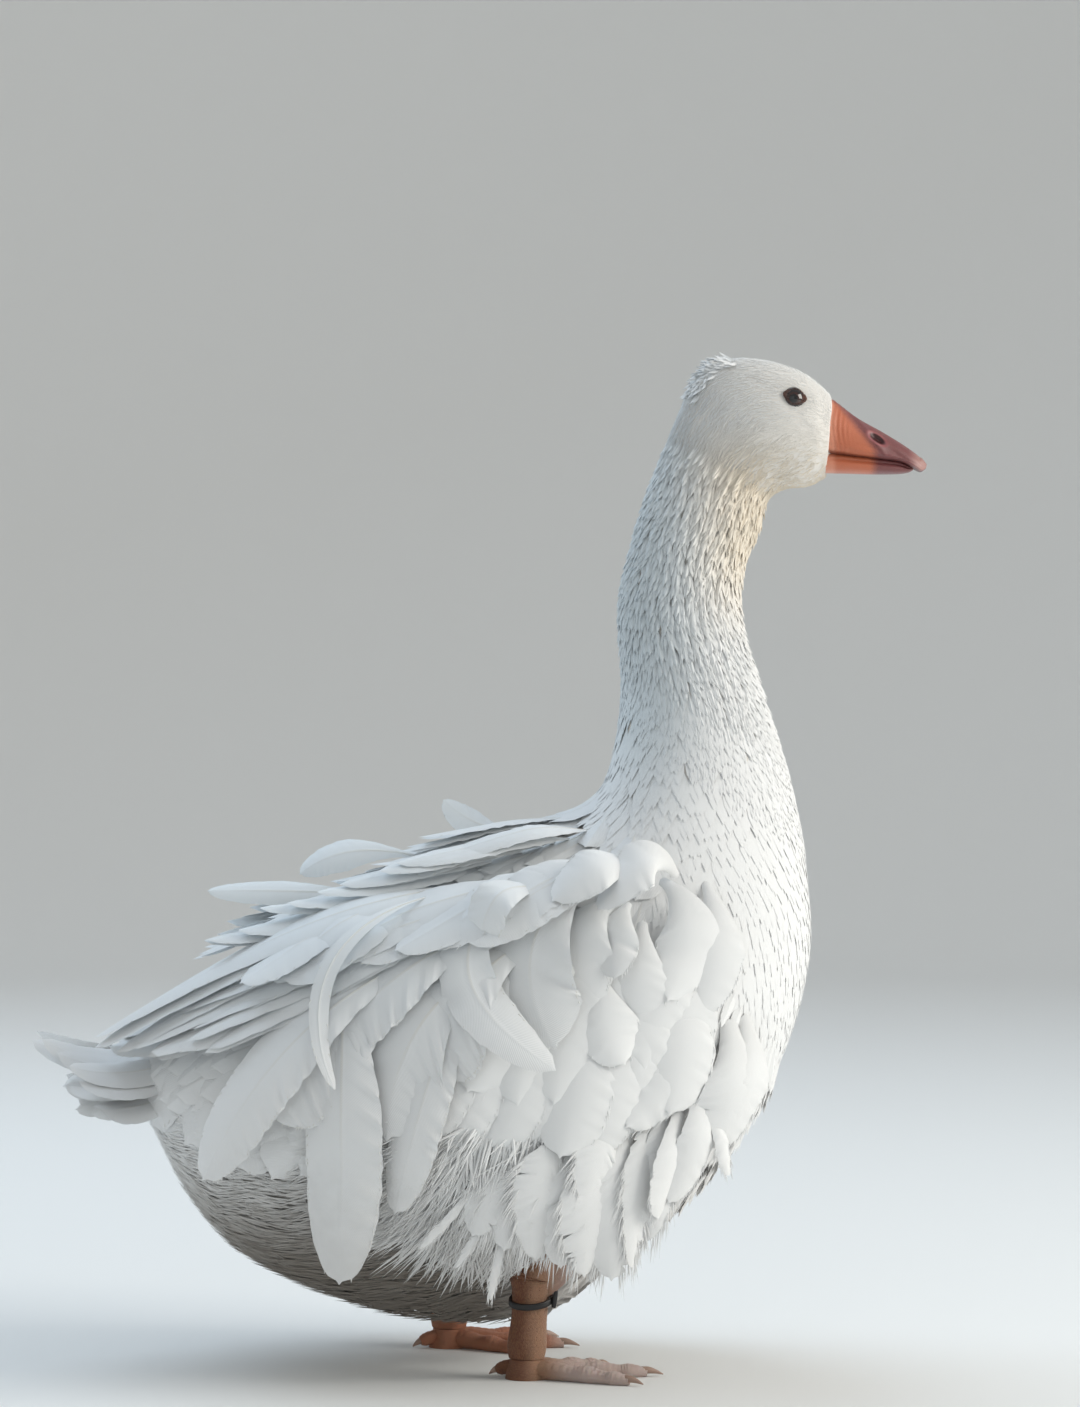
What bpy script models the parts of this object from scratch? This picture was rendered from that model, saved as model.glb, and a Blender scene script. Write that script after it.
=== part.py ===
"""Sebastopol goose, standing still, at life size.

The bird faces +X, its right side is towards -Y and its soles rest on z = 0.
"""

import math
import random
from collections import namedtuple

import bmesh
import bpy
from mathutils import Vector
from mathutils.bvhtree import BVHTree

# Driving dimensions, in metres unless a name says otherwise
MM = 0.001
GAP = 0.0003
SKIN_GAP = 0.0004
WELD = 0.000001
VANE_THICK = 1.3 * MM
VANE_GAP = 0.5 * MM
EYE_RADIUS = 7.4 * MM
EYE_PLACE = (188.9 * MM, 576.1 * MM)
EYE_SHOWS = 2.6 * MM
LID_STEPS = 14
LID_SIDES = 5
LID_REACH = (7.0 * MM, 5.8 * MM)
LID_SECTION = (1.5 * MM, 2.25 * MM)
LID_SET_BACK = 3.4 * MM
STANCE = 58 * MM
RIGHT_ANKLE = (31 * MM, 16 * MM)
LEFT_ANKLE = (-17 * MM, 16 * MM)
SHANK_BELOW = 4.0
TOE_IN = math.radians(4)
TOE_LENGTHS = (56.0, 74.0, 68.0)
TOE_TURNS = (math.radians(30), 0.0, math.radians(-28))
HIND_TURN = math.radians(24)
WEB_THICK = 1.5
WEB_STEPS = 5
WEB_REACH = (0.06, 0.86)
WEB_HOLLOW = 0.16
WEB_LOW = 1.2
WEB_ARCH = 5.0
BAND_HEIGHT = 46.0
BAND_AHEAD = 2.3
BAND_REACH = (12.6, 10.6)
BAND_SAG = 1.6
BAND_STEPS = 24
SIDES = {"right": -1, "left": 1}

# Body outline in mm: back line x and z, breast line x and z, half width; then how far the underside
# narrows to a keel (1 is oval). Rump first, face last
BODY = [
    (-208.8, 169.8, -201.6, 157.8, 8, 1.0),
    (-195.6, 186.6, -189.6, 138.6, 38, 1.0),
    (-168.6, 211.6, -168.6, 99.6, 74, 1.0),
    (-135.6, 240.6, -138.6, 66.6, 98, 1.1),
    (-93.6, 272.6, -93.6, 42.6, 113, 1.6),
    (-45.6, 296.4, -39.6, 26.8, 120, 2.1),
    (-0.6, 311.8, 28.4, 25.6, 121, 2.2),
    (35.4, 322.6, 80.4, 57.6, 117, 1.8),
    (61.2, 332.2, 134.6, 108.6, 107, 1.3),
    (75.6, 346.6, 178.2, 171.6, 92, 1.0),
    (81.6, 364.6, 199.4, 237.6, 75, 1.0),
    (85.8, 387.6, 198.2, 297.6, 59, 1.0),
    (87.0, 411.6, 188.0, 351.6, 47, 1.0),
    (85.8, 435.6, 172.4, 399.6, 38.5, 1.0),
    (86.4, 459.6, 159.2, 444.6, 33, 1.0),
    (92.4, 486.6, 160.4, 475.8, 30, 1.0),
    (101.4, 516.6, 170.0, 499.8, 28.5, 1.0),
    (111.0, 541.8, 174.6, 516.6, 28, 1.0),
    (121.8, 569.4, 185.6, 523.8, 28.5, 1.0),
    (133.2, 592.4, 198.0, 525.0, 29, 1.0),
    (152.4, 601.4, 206.4, 528.6, 28.5, 1.0),
    (175.2, 600.4, 210.0, 531.0, 26, 1.0),
    (196.0, 593.4, 213.0, 532.0, 22, 1.0),
    (210.0, 582.6, 217.0, 533.0, 17.5, 1.0),
    (219.0, 573.0, 222.0, 537.0, 12, 1.0),
    (227.0, 560.0, 227.0, 548.0, 5, 1.0),
]
BODY_RINGS = 56
BODY_SIDES = 22

# Where thin cuts part the body, in mm: a point on the cut and the way along it, seen from the side
NECK_CUT = ((80.0, 357.0), (203.0, 273.0))
HEAD_CUT = ((117.6, 559.8), (177.6, 518.4))
FACE_CUT = ((214.8, 578.4), (212.4, 533.0))

# Bill in mm: top x and z, mouth line x and z, half width, and no keel
UPPER_BILL = [
    (213.6, 577.6, 211.9, 544.2, 14.0, 1.0),
    (228.6, 566.4, 227.4, 542.6, 13.2, 1.0),
    (242.4, 558.6, 241.8, 541.4, 11.6, 1.0),
    (254.0, 551.6, 253.4, 539.6, 10.0, 1.0),
    (262.8, 546.0, 262.2, 536.6, 8.4, 1.0),
    (268.2, 541.4, 267.2, 534.4, 6.0, 1.0),
    (270.6, 537.6, 270.0, 535.2, 2.2, 1.0),
]
LOWER_BILL = [
    (211.8, 543.2, 211.2, 533.4, 12.4, 1.0),
    (227.4, 541.6, 226.8, 532.8, 11.4, 1.0),
    (241.8, 540.4, 241.2, 532.4, 9.8, 1.0),
    (253.4, 538.6, 252.8, 532.4, 8.0, 1.0),
    (261.6, 535.6, 261.0, 532.2, 5.4, 1.0),
    (264.6, 534.2, 264.0, 532.6, 2.0, 1.0),
]
NOSTRIL_PLACE = (239.0 * MM, 553.2 * MM)
NOSTRIL_SIZE = (5.0 * MM, 3.2 * MM, 1.5 * MM)
NOSTRIL_SLOPE = math.radians(30)
NOSTRIL_OUT = 7.6 * MM
NOSTRIL_TURN = math.radians(-8)

# The folded wing under its feathers: place along the body, top and bottom angle in degrees, thickness in mm
WING_ROWS = [
    (9.5, 58, 84, 3),
    (8.8, 44, 96, 8),
    (7.8, 38, 97, 12),
    (6.4, 36, 94, 12),
    (5.0, 36, 90, 11),
    (3.6, 37, 84, 9),
    (2.4, 40, 79, 6),
    (1.5, 48, 74, 3),
]
WING_COLUMNS = 7
WING_EDGE = 1.5
WING_BACKING = 3.0

# Stump of the tail in mm: x, z, half width and half height
TAIL_STUMP = [
    (-150, 186, 24, 15),
    (-180, 180, 36, 12),
    (-205, 176, 38, 8),
    (-222, 176, 26, 3),
]

# Legs: mm ahead of the ankle, share of the stance outwards, mm above the ankle, radii in mm across and fore
THIGH_ROWS = [
    (44, 1.62, 134, 22, 30),
    (38, 1.60, 108, 25, 34),
    (27, 1.45, 82, 20, 26),
    (17, 1.24, 64, 14, 15),
    (13, 1.14, 56, 9, 9),
]
SHANK_ROWS = [
    (0, 1.0, -SHANK_BELOW, 9, 10),
    (0, 1.0, 4, 9.5, 11),
    (1, 1.0, 20, 8, 10),
    (2, 1.0, 36, 8.5, 11),
    (3, 1.0, 46, 9.5, 13),
    (9, 1.08, 58, 8, 10),
    (16, 1.2, 72, 7, 8),
    (22, 1.3, 84, 7, 8),
]

# Toes and claws: share of the toe's length, height and radius in mm; the hind toe's places are in mm
TOE_ROWS = [
    (0.02, 5.4, 5.8),
    (0.20, 5.4, 5.8),
    (0.42, 4.4, 4.6),
    (0.56, 4.4, 4.9),
    (0.72, 3.4, 3.9),
    (0.81, 3.4, 4.1),
    (0.95, 2.6, 2.4),
]
CLAW_ROWS = [(0.90, 3.6), (0.96, 3.7), (1.02, 3.0), (1.08, 1.4)]
HIND_ROWS = [(4, 6.4, 4.6), (12, 6.0, 4.0), (17, 4.6, 3.4), (19, 3.8, 2.2)]
HIND_CLAW_ROWS = [(18, 4.6), (20, 4.0), (22, 2.8), (24, 1.2)]
CLAW_RADII = [(2.4, 2.4), (2.1, 2.0), (1.3, 1.2), (0.4, 0.4)]
KNUCKLE_RADII = [(11, 12), (10.5, 12), (9, 10)]

# Section of the leg band in mm, outwards and up, and its clasp: outwards and up, radius across and fore
BAND_SECTION = [(-1.2, -2.2), (1.2, -2.2), (1.4, 0), (1.2, 2.2), (-1.2, 2.2)]
CLASP_ROWS = [(13.0, -1.5, 3.2, 1.8), (15.2, 6.0, 2.8, 1.5)]
CLASP_SIDE = 3.5

# Rows of feathers on one side, in mm: lines that roots, middles and tips follow, as x, distance from the
# middle plane and z; how many feathers; width; lift above the body at root and tip; curl of the tip; twist
Row = namedtuple("Row", "roots middles tips count width lifts curl twist")
DROOPING = [
    Row([(-31, 112, 248)], [(-108, 124, 195)], [(-155, 122, 124)], 1, 40, (7, 24), 0, 0.3),
    Row([(-60, 106, 236)], [(-96, 120, 200)], [(-108, 122, 157)], 1, 42, (6, 12), 0, -0.1),
    Row([(-73, 104, 262)], [(-71, 128, 170)], [(-77, 122, 60)], 1, 46, (8, 30), 0, 0.4),
    Row([(2, 118, 246)], [(-34, 128, 205)], [(-43, 126, 162)], 1, 46, (7, 16), 0, 0),
    Row([(-8, 116, 222)], [(-30, 130, 175)], [(-46, 124, 104)], 1, 28, (6, 22), 0, 0.4),
    Row([(20, 116, 262)], [(-12, 128, 228)], [(-26, 130, 192)], 1, 40, (8, 21), 0, 0),
]
WING_FEATHERS = [
    Row(
        [(40, 108, 240), (108, 104, 236)], [(28, 126, 196), (102, 116, 196)],
        [(12, 122, 140), (92, 112, 152)],
        4, 34, (7, 12), 3, 0.1,
    ),
    Row(
        [(-6, 78, 296), (-30, 106, 250)], [(-104, 78, 262), (-104, 104, 226)],
        [(-224, 34, 196), (-170, 70, 188)],
        4, 34, (8, 20), 4, 0.1,
    ),
    Row(
        [(88, 92, 308), (-70, 76, 284)], [(50, 108, 286), (-104, 92, 258)], [(18, 118, 252), (-134, 98, 232)],
        5, 42, (9, 24), 3, 0.1,
    ),
    Row(
        [(116, 88, 302), (112, 100, 256)], [(98, 108, 286), (94, 114, 240)], [(80, 116, 262), (68, 120, 216)],
        3, 32, (6, 20), 10, 0.5,
    ),
    Row([(60, 104, 300)], [(12, 122, 250)], [(34, 126, 190)], 1, 54, (9, 34), 4, -0.2),
]
BACK_FEATHERS = [
    Row(
        [(56, 14, 332), (-70, 12, 290)], [(20, 26, 324), (-110, 20, 268)], [(-14, 30, 318), (-158, 24, 246)],
        4, 36, (-2, 16), 8, 0.5,
    ),
    Row(
        [(64, 50, 326), (-60, 46, 284)], [(30, 62, 320), (-96, 58, 268)], [(-2, 66, 312), (-150, 60, 282)],
        3, 30, (-2, 22), 14, -0.6,
    ),
]
BELLY_FEATHERS = [
    Row(
        [(152, 88, 202), (56, 116, 176)], [(148, 98, 166), (64, 126, 124)], [(140, 92, 126), (64, 124, 68)],
        5, 30, (-2, 13), 3, 0.2,
    ),
    Row(
        [(192, 14, 218), (170, 70, 212)], [(192, 16, 186), (166, 76, 184)], [(181, 14, 152), (152, 78, 154)],
        3, 34, (-2, 7), 3, 0.1,
    ),
    Row(
        [(24, 108, 140), (-60, 104, 130)], [(10, 108, 100), (-74, 100, 92)], [(-6, 92, 44), (-92, 84, 56)],
        4, 20, (-2, 12), 2, 0.7,
    ),
    Row(
        [(-100, 92, 130), (-150, 66, 150)], [(-118, 90, 104), (-166, 60, 134)],
        [(-134, 78, 74), (-184, 46, 122)],
        3, 30, (-2, 8), 3, 0.4,
    ),
]
TAIL_FEATHERS = [
    Row(
        [(-176, 7, 166), (-170, 32, 163)], [(-214, 9, 162), (-206, 42, 158)],
        [(-258, 10, 164), (-240, 56, 158)],
        4, 25, (0, 0), 3, 0,
    ),
    Row(
        [(-180, 7, 179), (-172, 30, 176)], [(-222, 10, 177), (-208, 36, 172)],
        [(-268, 11, 186), (-246, 42, 178)],
        3, 28, (0, 0), 6, 0,
    ),
    Row(
        [(-164, 9, 192), (-158, 28, 188)], [(-200, 11, 189), (-190, 33, 184)],
        [(-234, 12, 192), (-218, 38, 185)],
        2, 30, (0, 0), 4, 0,
    ),
]

SEED = 15

# Feather's share of its full width at each share of its length, and how far along it is held to the body
VANE_SHAPE = ((0.0, 0.0), (0.12, 0.45), (0.40, 0.88), (0.68, 1.0), (0.90, 0.66), (1.0, 0.0))
HELD_LENGTH = 0.6
TILE_TILT = 0.16
CAMBER = 0.12
JITTER = 3.0


def spline(values, s):
    """Catmull-Rom value at place s through a list of equal-length tuples."""
    last = len(values) - 1
    i = min(int(s), last - 1)
    t = s - i
    a, b, c, d = (values[min(max(k, 0), last)] for k in (i - 1, i, i + 1, i + 2))
    return tuple(
        0.5 * (2 * q + (r - p) * t + (2 * p - 5 * q + 4 * r - w) * t * t + (3 * q - p - 3 * r + w) * t**3)
        for p, q, r, w in zip(a, b, c, d)
    )


def on_line(points, share):
    """The point at this share of a short line of mm points, in metres."""
    return Vector(spline(points, share * (len(points) - 1))) * MM


def material(name, colour, roughness, metallic=0.0):
    made = bpy.data.materials.new(name)
    made.use_nodes = True
    shader = made.node_tree.nodes["Principled BSDF"]
    shader.inputs["Base Color"].default_value = (*colour, 1.0)
    shader.inputs["Roughness"].default_value = roughness
    shader.inputs["Metallic"].default_value = metallic
    return made


def add_object(name, bm, finish=None):
    """A new smooth-shaded object that holds this bmesh."""
    bmesh.ops.recalc_face_normals(bm, faces=bm.faces)
    mesh = bpy.data.meshes.new(name)
    bm.to_mesh(mesh)
    bm.free()
    mesh.shade_smooth()
    obj = bpy.data.objects.new(name, mesh)
    bpy.context.scene.collection.objects.link(obj)
    if finish:
        mesh.materials.append(finish)
    return obj


def skin_rings(bm, rings, first, last):
    """Closes rings of points into one surface with a point at each end, split alike on both its faces."""
    loops = [[bm.verts.new(p) for p in ring] for ring in rings]
    tip_a = bm.verts.new(first)
    tip_b = bm.verts.new(last)
    count = len(rings[0])
    for a, b in zip(loops, loops[1:]):
        for i in range(count):
            j = (i + 1) % count
            if i < count / 2:
                bm.faces.new((a[i], b[i], b[j]))
                bm.faces.new((a[i], b[j], a[j]))
            else:
                bm.faces.new((a[i], b[i], a[j]))
                bm.faces.new((b[i], b[j], a[j]))
    for i in range(count):
        j = (i + 1) % count
        bm.faces.new((tip_a, loops[0][i], loops[0][j]))
        bm.faces.new((tip_b, loops[-1][j], loops[-1][i]))


class Loft:
    """Oval sections through two outline lines that lie in the bird's middle plane."""

    def __init__(self, stations, low=0.0, squareness=1.0):
        self.stations = stations
        self.low = low
        self.squareness = squareness

    def point(self, s, angle):
        """Surface point at place s; angle 0 is the back line and pi the front line, positive to the left."""
        bx, bz, fx, fz, width, keel = spline(self.stations, s)
        cosine = math.cos(angle)
        sine = math.sin(angle)
        power = self.squareness * (keel if cosine < 0 else 1)
        bulge = math.copysign(abs(sine) ** power, sine) * (1 - self.low * cosine)
        x = (bx + fx) / 2 + (bx - fx) / 2 * cosine
        z = (bz + fz) / 2 + (bz - fz) / 2 * cosine
        return Vector((x, width * bulge, z)) * MM

    def normal(self, s, angle):
        """Outward direction of the surface."""
        along = self.point(s + 0.05, angle) - self.point(s - 0.05, angle)
        round_it = self.point(s, angle + 0.05) - self.point(s, angle - 0.05)
        out = round_it.cross(along).normalized()
        middle = (self.point(s, 0) + self.point(s, math.pi)) / 2
        return out if out.dot(self.point(s, angle) - middle) > 0 else -out

    def surface(self, ring_count, sides):
        """The closed surface as a bmesh whose faces point out."""
        end = len(self.stations) - 1
        places = [end * k / (ring_count - 1) for k in range(ring_count)]
        rings = [[self.point(s, math.tau * i / sides) for i in range(sides)] for s in places]
        bm = bmesh.new()
        middles = [sum(ring, Vector()) / sides for ring in (rings[0], rings[-1])]
        skin_rings(bm, rings, *middles)
        bmesh.ops.recalc_face_normals(bm, faces=bm.faces)
        bm.normal_update()
        return bm


def tube(path, radii, sides=10):
    """A closed tube along path, with a radius across and a radius up for each point."""
    path = [Vector(p) * MM for p in path]
    rings = []
    start = path[1] - path[0]
    across = Vector((0, 1, 0)) if abs(start.z) > start.xy.length * 3 else start.cross(Vector((0, 0, 1)))
    for i, p in enumerate(path):
        ahead = (path[min(i + 1, len(path) - 1)] - path[max(i - 1, 0)]).normalized()
        across = (across - ahead * across.dot(ahead)).normalized()
        up = across.cross(ahead)
        wide, tall = (r * MM for r in radii[i])
        turns = [math.tau * k / sides for k in range(sides)]
        rings.append([p + across * wide * math.cos(a) + up * tall * math.sin(a) for a in turns])
    bm = bmesh.new()
    skin_rings(bm, rings, path[0], path[-1])
    bmesh.ops.recalc_face_normals(bm, faces=bm.faces)
    bm.normal_update()
    return bm


def offset(bm, distance):
    """Moves every point of a closed bmesh outwards."""
    moves = [(v, v.normal.copy()) for v in bm.verts]
    for v, way in moves:
        v.co += way * distance
    return bm


def part_by_cut(bm, cut, keep_above):
    """Cuts the bmesh along a plane seen edge on from the side, half a gap back from it, and closes it."""
    (xa, za), (xb, zb) = cut
    along = Vector((xb - xa, 0, zb - za)).normalized()
    up = Vector((-along.z, 0, along.x))
    out = -up if keep_above else up
    where = Vector((xa, 0, za)) * MM - out * GAP / 2
    made = bmesh.ops.bisect_plane(
        bm,
        geom=bm.verts[:] + bm.edges[:] + bm.faces[:],
        plane_co=where,
        plane_no=out,
        clear_outer=True,
    )
    rim = [e for e in made["geom_cut"] if isinstance(e, bmesh.types.BMEdge)]
    bmesh.ops.triangle_fill(bm, edges=rim, use_beauty=True, normal=out)
    return bm


def apply_modifiers(obj):
    graph = bpy.context.evaluated_depsgraph_get()
    mesh = bpy.data.meshes.new_from_object(obj.evaluated_get(graph))
    old = obj.data
    obj.modifiers.clear()
    obj.data = mesh
    bpy.data.meshes.remove(old)


def keep_largest(obj):
    """Leaves only the closed surface that has the most volume."""
    bm = bmesh.new()
    bm.from_mesh(obj.data)
    left = set(bm.verts)
    best = None
    while left:
        group = set()
        edge_of = [left.pop()]
        while edge_of:
            v = edge_of.pop()
            group.add(v)
            for e in v.link_edges:
                other = e.other_vert(v)
                if other in left:
                    left.remove(other)
                    edge_of.append(other)
        faces = {f for v in group for f in v.link_faces}
        volume = sum(f.calc_center_median().dot(f.normal) * f.calc_area() for f in faces)
        if best is None or volume > best[0]:
            best = (volume, group)
    loose = [v for v in bm.verts if v not in best[1]]
    bmesh.ops.delete(bm, geom=loose, context="VERTS")
    bmesh.ops.triangulate(bm, faces=bm.faces, ngon_method="EAR_CLIP")
    bmesh.ops.remove_doubles(bm, verts=bm.verts, dist=WELD)
    bm.to_mesh(obj.data)
    bm.free()


def combine(obj, others, operation, solver="EXACT"):
    """Joins other closed meshes to obj, or cuts them out of it, by one Boolean, and removes them."""
    group = bpy.data.collections.new("tools")
    bpy.context.scene.collection.children.link(group)
    for other in others:
        group.objects.link(other)
    modifier = obj.modifiers.new("Combine", "BOOLEAN")
    modifier.operation = operation
    modifier.solver = solver
    modifier.operand_type = "COLLECTION"
    modifier.collection = group
    apply_modifiers(obj)
    for other in others:
        mesh = other.data
        bpy.data.objects.remove(other)
        bpy.data.meshes.remove(mesh)
    bpy.data.collections.remove(group)
    keep_largest(obj)


class Feather:
    """One feather's shaft line, with the way out from the body at each point of it."""

    def __init__(self, line, width, tilt, twist):
        self.line = line
        self.width = width
        self.tilt = tilt
        self.twist = twist

    def blade(self, grow=0.0):
        """The feather as a closed, flat, tapered blade, grown all round by a distance."""
        rings = []
        for k in range(1, len(self.line) - 1):
            share, wide = VANE_SHAPE[k]
            p, out = self.line[k]
            ahead = (self.line[k + 1][0] - self.line[k - 1][0]).normalized()
            across = ahead.cross(out).normalized()
            face = across.cross(ahead)
            turn = self.tilt + self.twist * share
            across = across * math.cos(turn) + face * math.sin(turn)
            face = across.cross(ahead)
            half = self.width / 2 * wide
            droop = face * half * CAMBER
            right = p - across * (half + grow) - droop
            left = p + across * (half + grow) - droop
            ridge = face * (VANE_THICK / 2 + grow)
            side = face * grow
            if grow:
                rings.append([right + side, p + ridge, left + side, left - side, p - ridge, right - side])
            else:
                rings.append([right, p + ridge, left, p - ridge])
        tip, _ = self.line[-1]
        bm = bmesh.new()
        skin_rings(bm, rings, self.line[0][0], tip + ahead * grow)
        return add_object("blade", bm)


class Plumage:
    """Lays feathers over a body surface."""

    def __init__(self):
        self.tree = BVHTree.FromBMesh(Loft(BODY).surface(BODY_RINGS, BODY_SIDES))

    def laid(self, point, lift, hold):
        """The point moved to this lift above the body, or by a share of the way there if it hangs higher."""
        near, out, _, _ = self.tree.find_nearest(point)
        height = (point - near).dot(out)
        if height > lift:
            lift = height + (lift - height) * hold
        return near + out * lift, out

    def feather(self, spots, width, lifts, curl, tilt, twist, up):
        """A feather from its root through its middle to its tip, laid on the body unless up is given."""
        root, middle, tip = spots
        control = middle * 2 - (root + tip) / 2
        line = []
        for t, _ in VANE_SHAPE:
            p = root * (1 - t) ** 2 + control * 2 * t * (1 - t) + tip * t * t
            hold = max(0, 1 - t / HELD_LENGTH) ** 2
            p, out = (p, up) if up else self.laid(p, lifts[0] + (lifts[1] - lifts[0]) * t, hold)
            line.append((p + out * curl * t**3, out))
        return Feather(line, width, tilt, twist)

    def rows(self, rows, side, up=None):
        """The feathers of some rows on one side; up is given for those that stand clear of the body."""
        chance = random.Random(SEED + side)
        origin = up * side * VANE_THICK / 2 if up else Vector()
        made = []
        for row in rows:
            for k in range(row.count):
                share = k / max(row.count - 1, 1)
                spots = []
                for line in (row.roots, row.middles, row.tips):
                    p = on_line(line, share) if len(line) > 1 else Vector(line[0]) * MM
                    reach = JITTER * MM * len(spots) / 2
                    shake = Vector([chance.uniform(-reach, reach) for _ in range(3)])
                    spots.append(Vector((p.x, p.y * side, p.z)) + shake + origin)
                width = row.width * MM * chance.uniform(0.88, 1.12)
                curl = row.curl * MM * chance.uniform(0.5, 1.5)
                twist = side * row.twist * chance.uniform(0.6, 1.4)
                lifts = [lift * MM for lift in row.lifts]
                made.append(self.feather(spots, width, lifts, curl, side * TILE_TILT, twist, up))
        return made


def dress(node, feathers, others):
    """Joins feathers to a node, clear of the feathers of other nodes."""
    combine(node, [feather.blade() for feather in feathers], "UNION", "MANIFOLD")
    if others:
        combine(node, [feather.blade(VANE_GAP) for feather in others], "DIFFERENCE", "MANIFOLD")


def body_part(lower=None, upper=None, grow=0.0):
    """The length of the body between two cuts, grown all round by a distance."""
    bm = Loft(BODY).surface(BODY_RINGS, BODY_SIDES)
    if grow:
        offset(bm, grow)
    if lower:
        part_by_cut(bm, lower, True)
    if upper:
        part_by_cut(bm, upper, False)
    return bm


def build_body(feathers, finish):
    """Torso, neck and head from one smooth body, parted by thin cuts."""
    torso = add_object("torso", body_part(upper=NECK_CUT), finish)
    dress(torso, feathers, [])
    neck_cutter = add_object("neck_cutter", body_part(lower=NECK_CUT, grow=SKIN_GAP))
    combine(torso, [neck_cutter], "DIFFERENCE", "MANIFOLD")
    add_object("neck", body_part(lower=NECK_CUT, upper=HEAD_CUT), finish)
    return add_object("head", body_part(lower=HEAD_CUT, upper=FACE_CUT), finish)


def body_cutter():
    """The whole body, slightly fat, to cut what lies on it."""
    return add_object("body_cutter", offset(Loft(BODY).surface(BODY_RINGS, BODY_SIDES), SKIN_GAP))


def eye_centre(side):
    """Centre of the eyeball, set so deep that only its front shows."""
    tree = BVHTree.FromBMesh(Loft(BODY).surface(BODY_RINGS, BODY_SIDES))
    x, z = EYE_PLACE
    hit = tree.ray_cast(Vector((x, side * 0.2, z)), Vector((0, -side, 0)))[0]
    return Vector((x, hit.y - side * (EYE_RADIUS - EYE_SHOWS), z))


def ball(name, centre, radius, finish=None, squash=(1, 1, 1), segments=12):
    bm = bmesh.new()
    bmesh.ops.create_uvsphere(bm, u_segments=segments, v_segments=segments * 2 // 3, radius=radius)
    for v in bm.verts:
        v.co = Vector(c * s for c, s in zip(v.co, squash)) + centre
    return add_object(name, bm, finish)


def lid(centre, side):
    """The ring of bare skin round the eye, a little longer than tall."""
    wide, tall = LID_REACH
    thick, deep = LID_SECTION
    bm = bmesh.new()
    loops = []
    for k in range(LID_STEPS):
        turn = math.tau * k / LID_STEPS
        around = Vector((math.cos(turn) * wide, 0, math.sin(turn) * tall))
        out = around.normalized()
        middle = centre + around + Vector((0, side * (EYE_RADIUS - LID_SET_BACK), 0))
        loop = []
        for j in range(LID_SIDES):
            lean = math.tau * j / LID_SIDES
            spot = middle + out * thick * math.cos(lean) + Vector((0, side * deep, 0)) * math.sin(lean)
            loop.append(bm.verts.new(spot))
        loops.append(loop)
    for a, b in zip(loops, loops[1:] + loops[:1]):
        for i in range(LID_SIDES):
            j = (i + 1) % LID_SIDES
            bm.faces.new((a[i], b[i], b[j], a[j]))
    bmesh.ops.triangulate(bm, faces=bm.faces)
    return add_object("lid", bm)


def build_eyes(head, eye_finish):
    """Eyeballs in sockets, with lids raised round them."""
    combine(head, [lid(eye_centre(side), side) for side in SIDES.values()], "UNION")
    sockets = [ball("socket", eye_centre(side), EYE_RADIUS + GAP) for side in SIDES.values()]
    combine(head, sockets, "DIFFERENCE")
    for name, side in SIDES.items():
        ball("eye_" + name, eye_centre(side), EYE_RADIUS, eye_finish)


def build_bill(horn):
    """Upper bill with nostrils, and the lower one under the line of the mouth."""
    upper = add_object("bill_upper", Loft(UPPER_BILL, 0.45, 0.9).surface(13, 16), horn)
    cut_at_face(upper)
    holes = []
    for side in SIDES.values():
        x, z = NOSTRIL_PLACE
        hole = ball("nostril", Vector(), 1.0, None, NOSTRIL_SIZE, 8)
        hole.rotation_euler = (0, NOSTRIL_SLOPE, side * NOSTRIL_TURN)
        hole.location = (x, side * NOSTRIL_OUT, z)
        holes.append(hole)
    combine(upper, holes, "DIFFERENCE")
    lower = add_object("bill_lower", Loft(LOWER_BILL, -0.3, 0.9).surface(11, 12), horn)
    cut_at_face(lower)


def cut_at_face(obj):
    """Cuts the root of a bill square with the face."""
    bm = bmesh.new()
    bm.from_mesh(obj.data)
    part_by_cut(bm, FACE_CUT, True)
    bmesh.ops.recalc_face_normals(bm, faces=bm.faces)
    bm.to_mesh(obj.data)
    bm.free()


def build_wing(name, side, feathers, others, finish):
    """The folded wing: a low swelling on the body's side, covered by its feathers."""
    whole = Loft(BODY)
    bm = bmesh.new()
    outer, inner = [], []
    for k in range(2 * len(WING_ROWS) - 1):
        s, top, bottom, thick = spline(WING_ROWS, k / 2)
        up_row, low_row = [], []
        for j in range(WING_COLUMNS):
            v = j / (WING_COLUMNS - 1)
            angle = side * math.radians(top + (bottom - top) * v)
            out = whole.normal(s, angle)
            swell = (WING_EDGE + thick * math.sin(math.pi * v) ** 0.6) * MM
            up_row.append(bm.verts.new(whole.point(s, angle) + out * swell))
            low_row.append(bm.verts.new(whole.point(s, angle) - out * WING_BACKING * MM))
        outer.append(up_row)
        inner.append(low_row)
    close_sheet(bm, outer, inner)
    wing = add_object(name, bm, finish)
    combine(wing, [body_cutter()], "DIFFERENCE", "MANIFOLD")
    dress(wing, feathers, others)
    combine(wing, [body_cutter()], "DIFFERENCE", "MANIFOLD")


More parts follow.
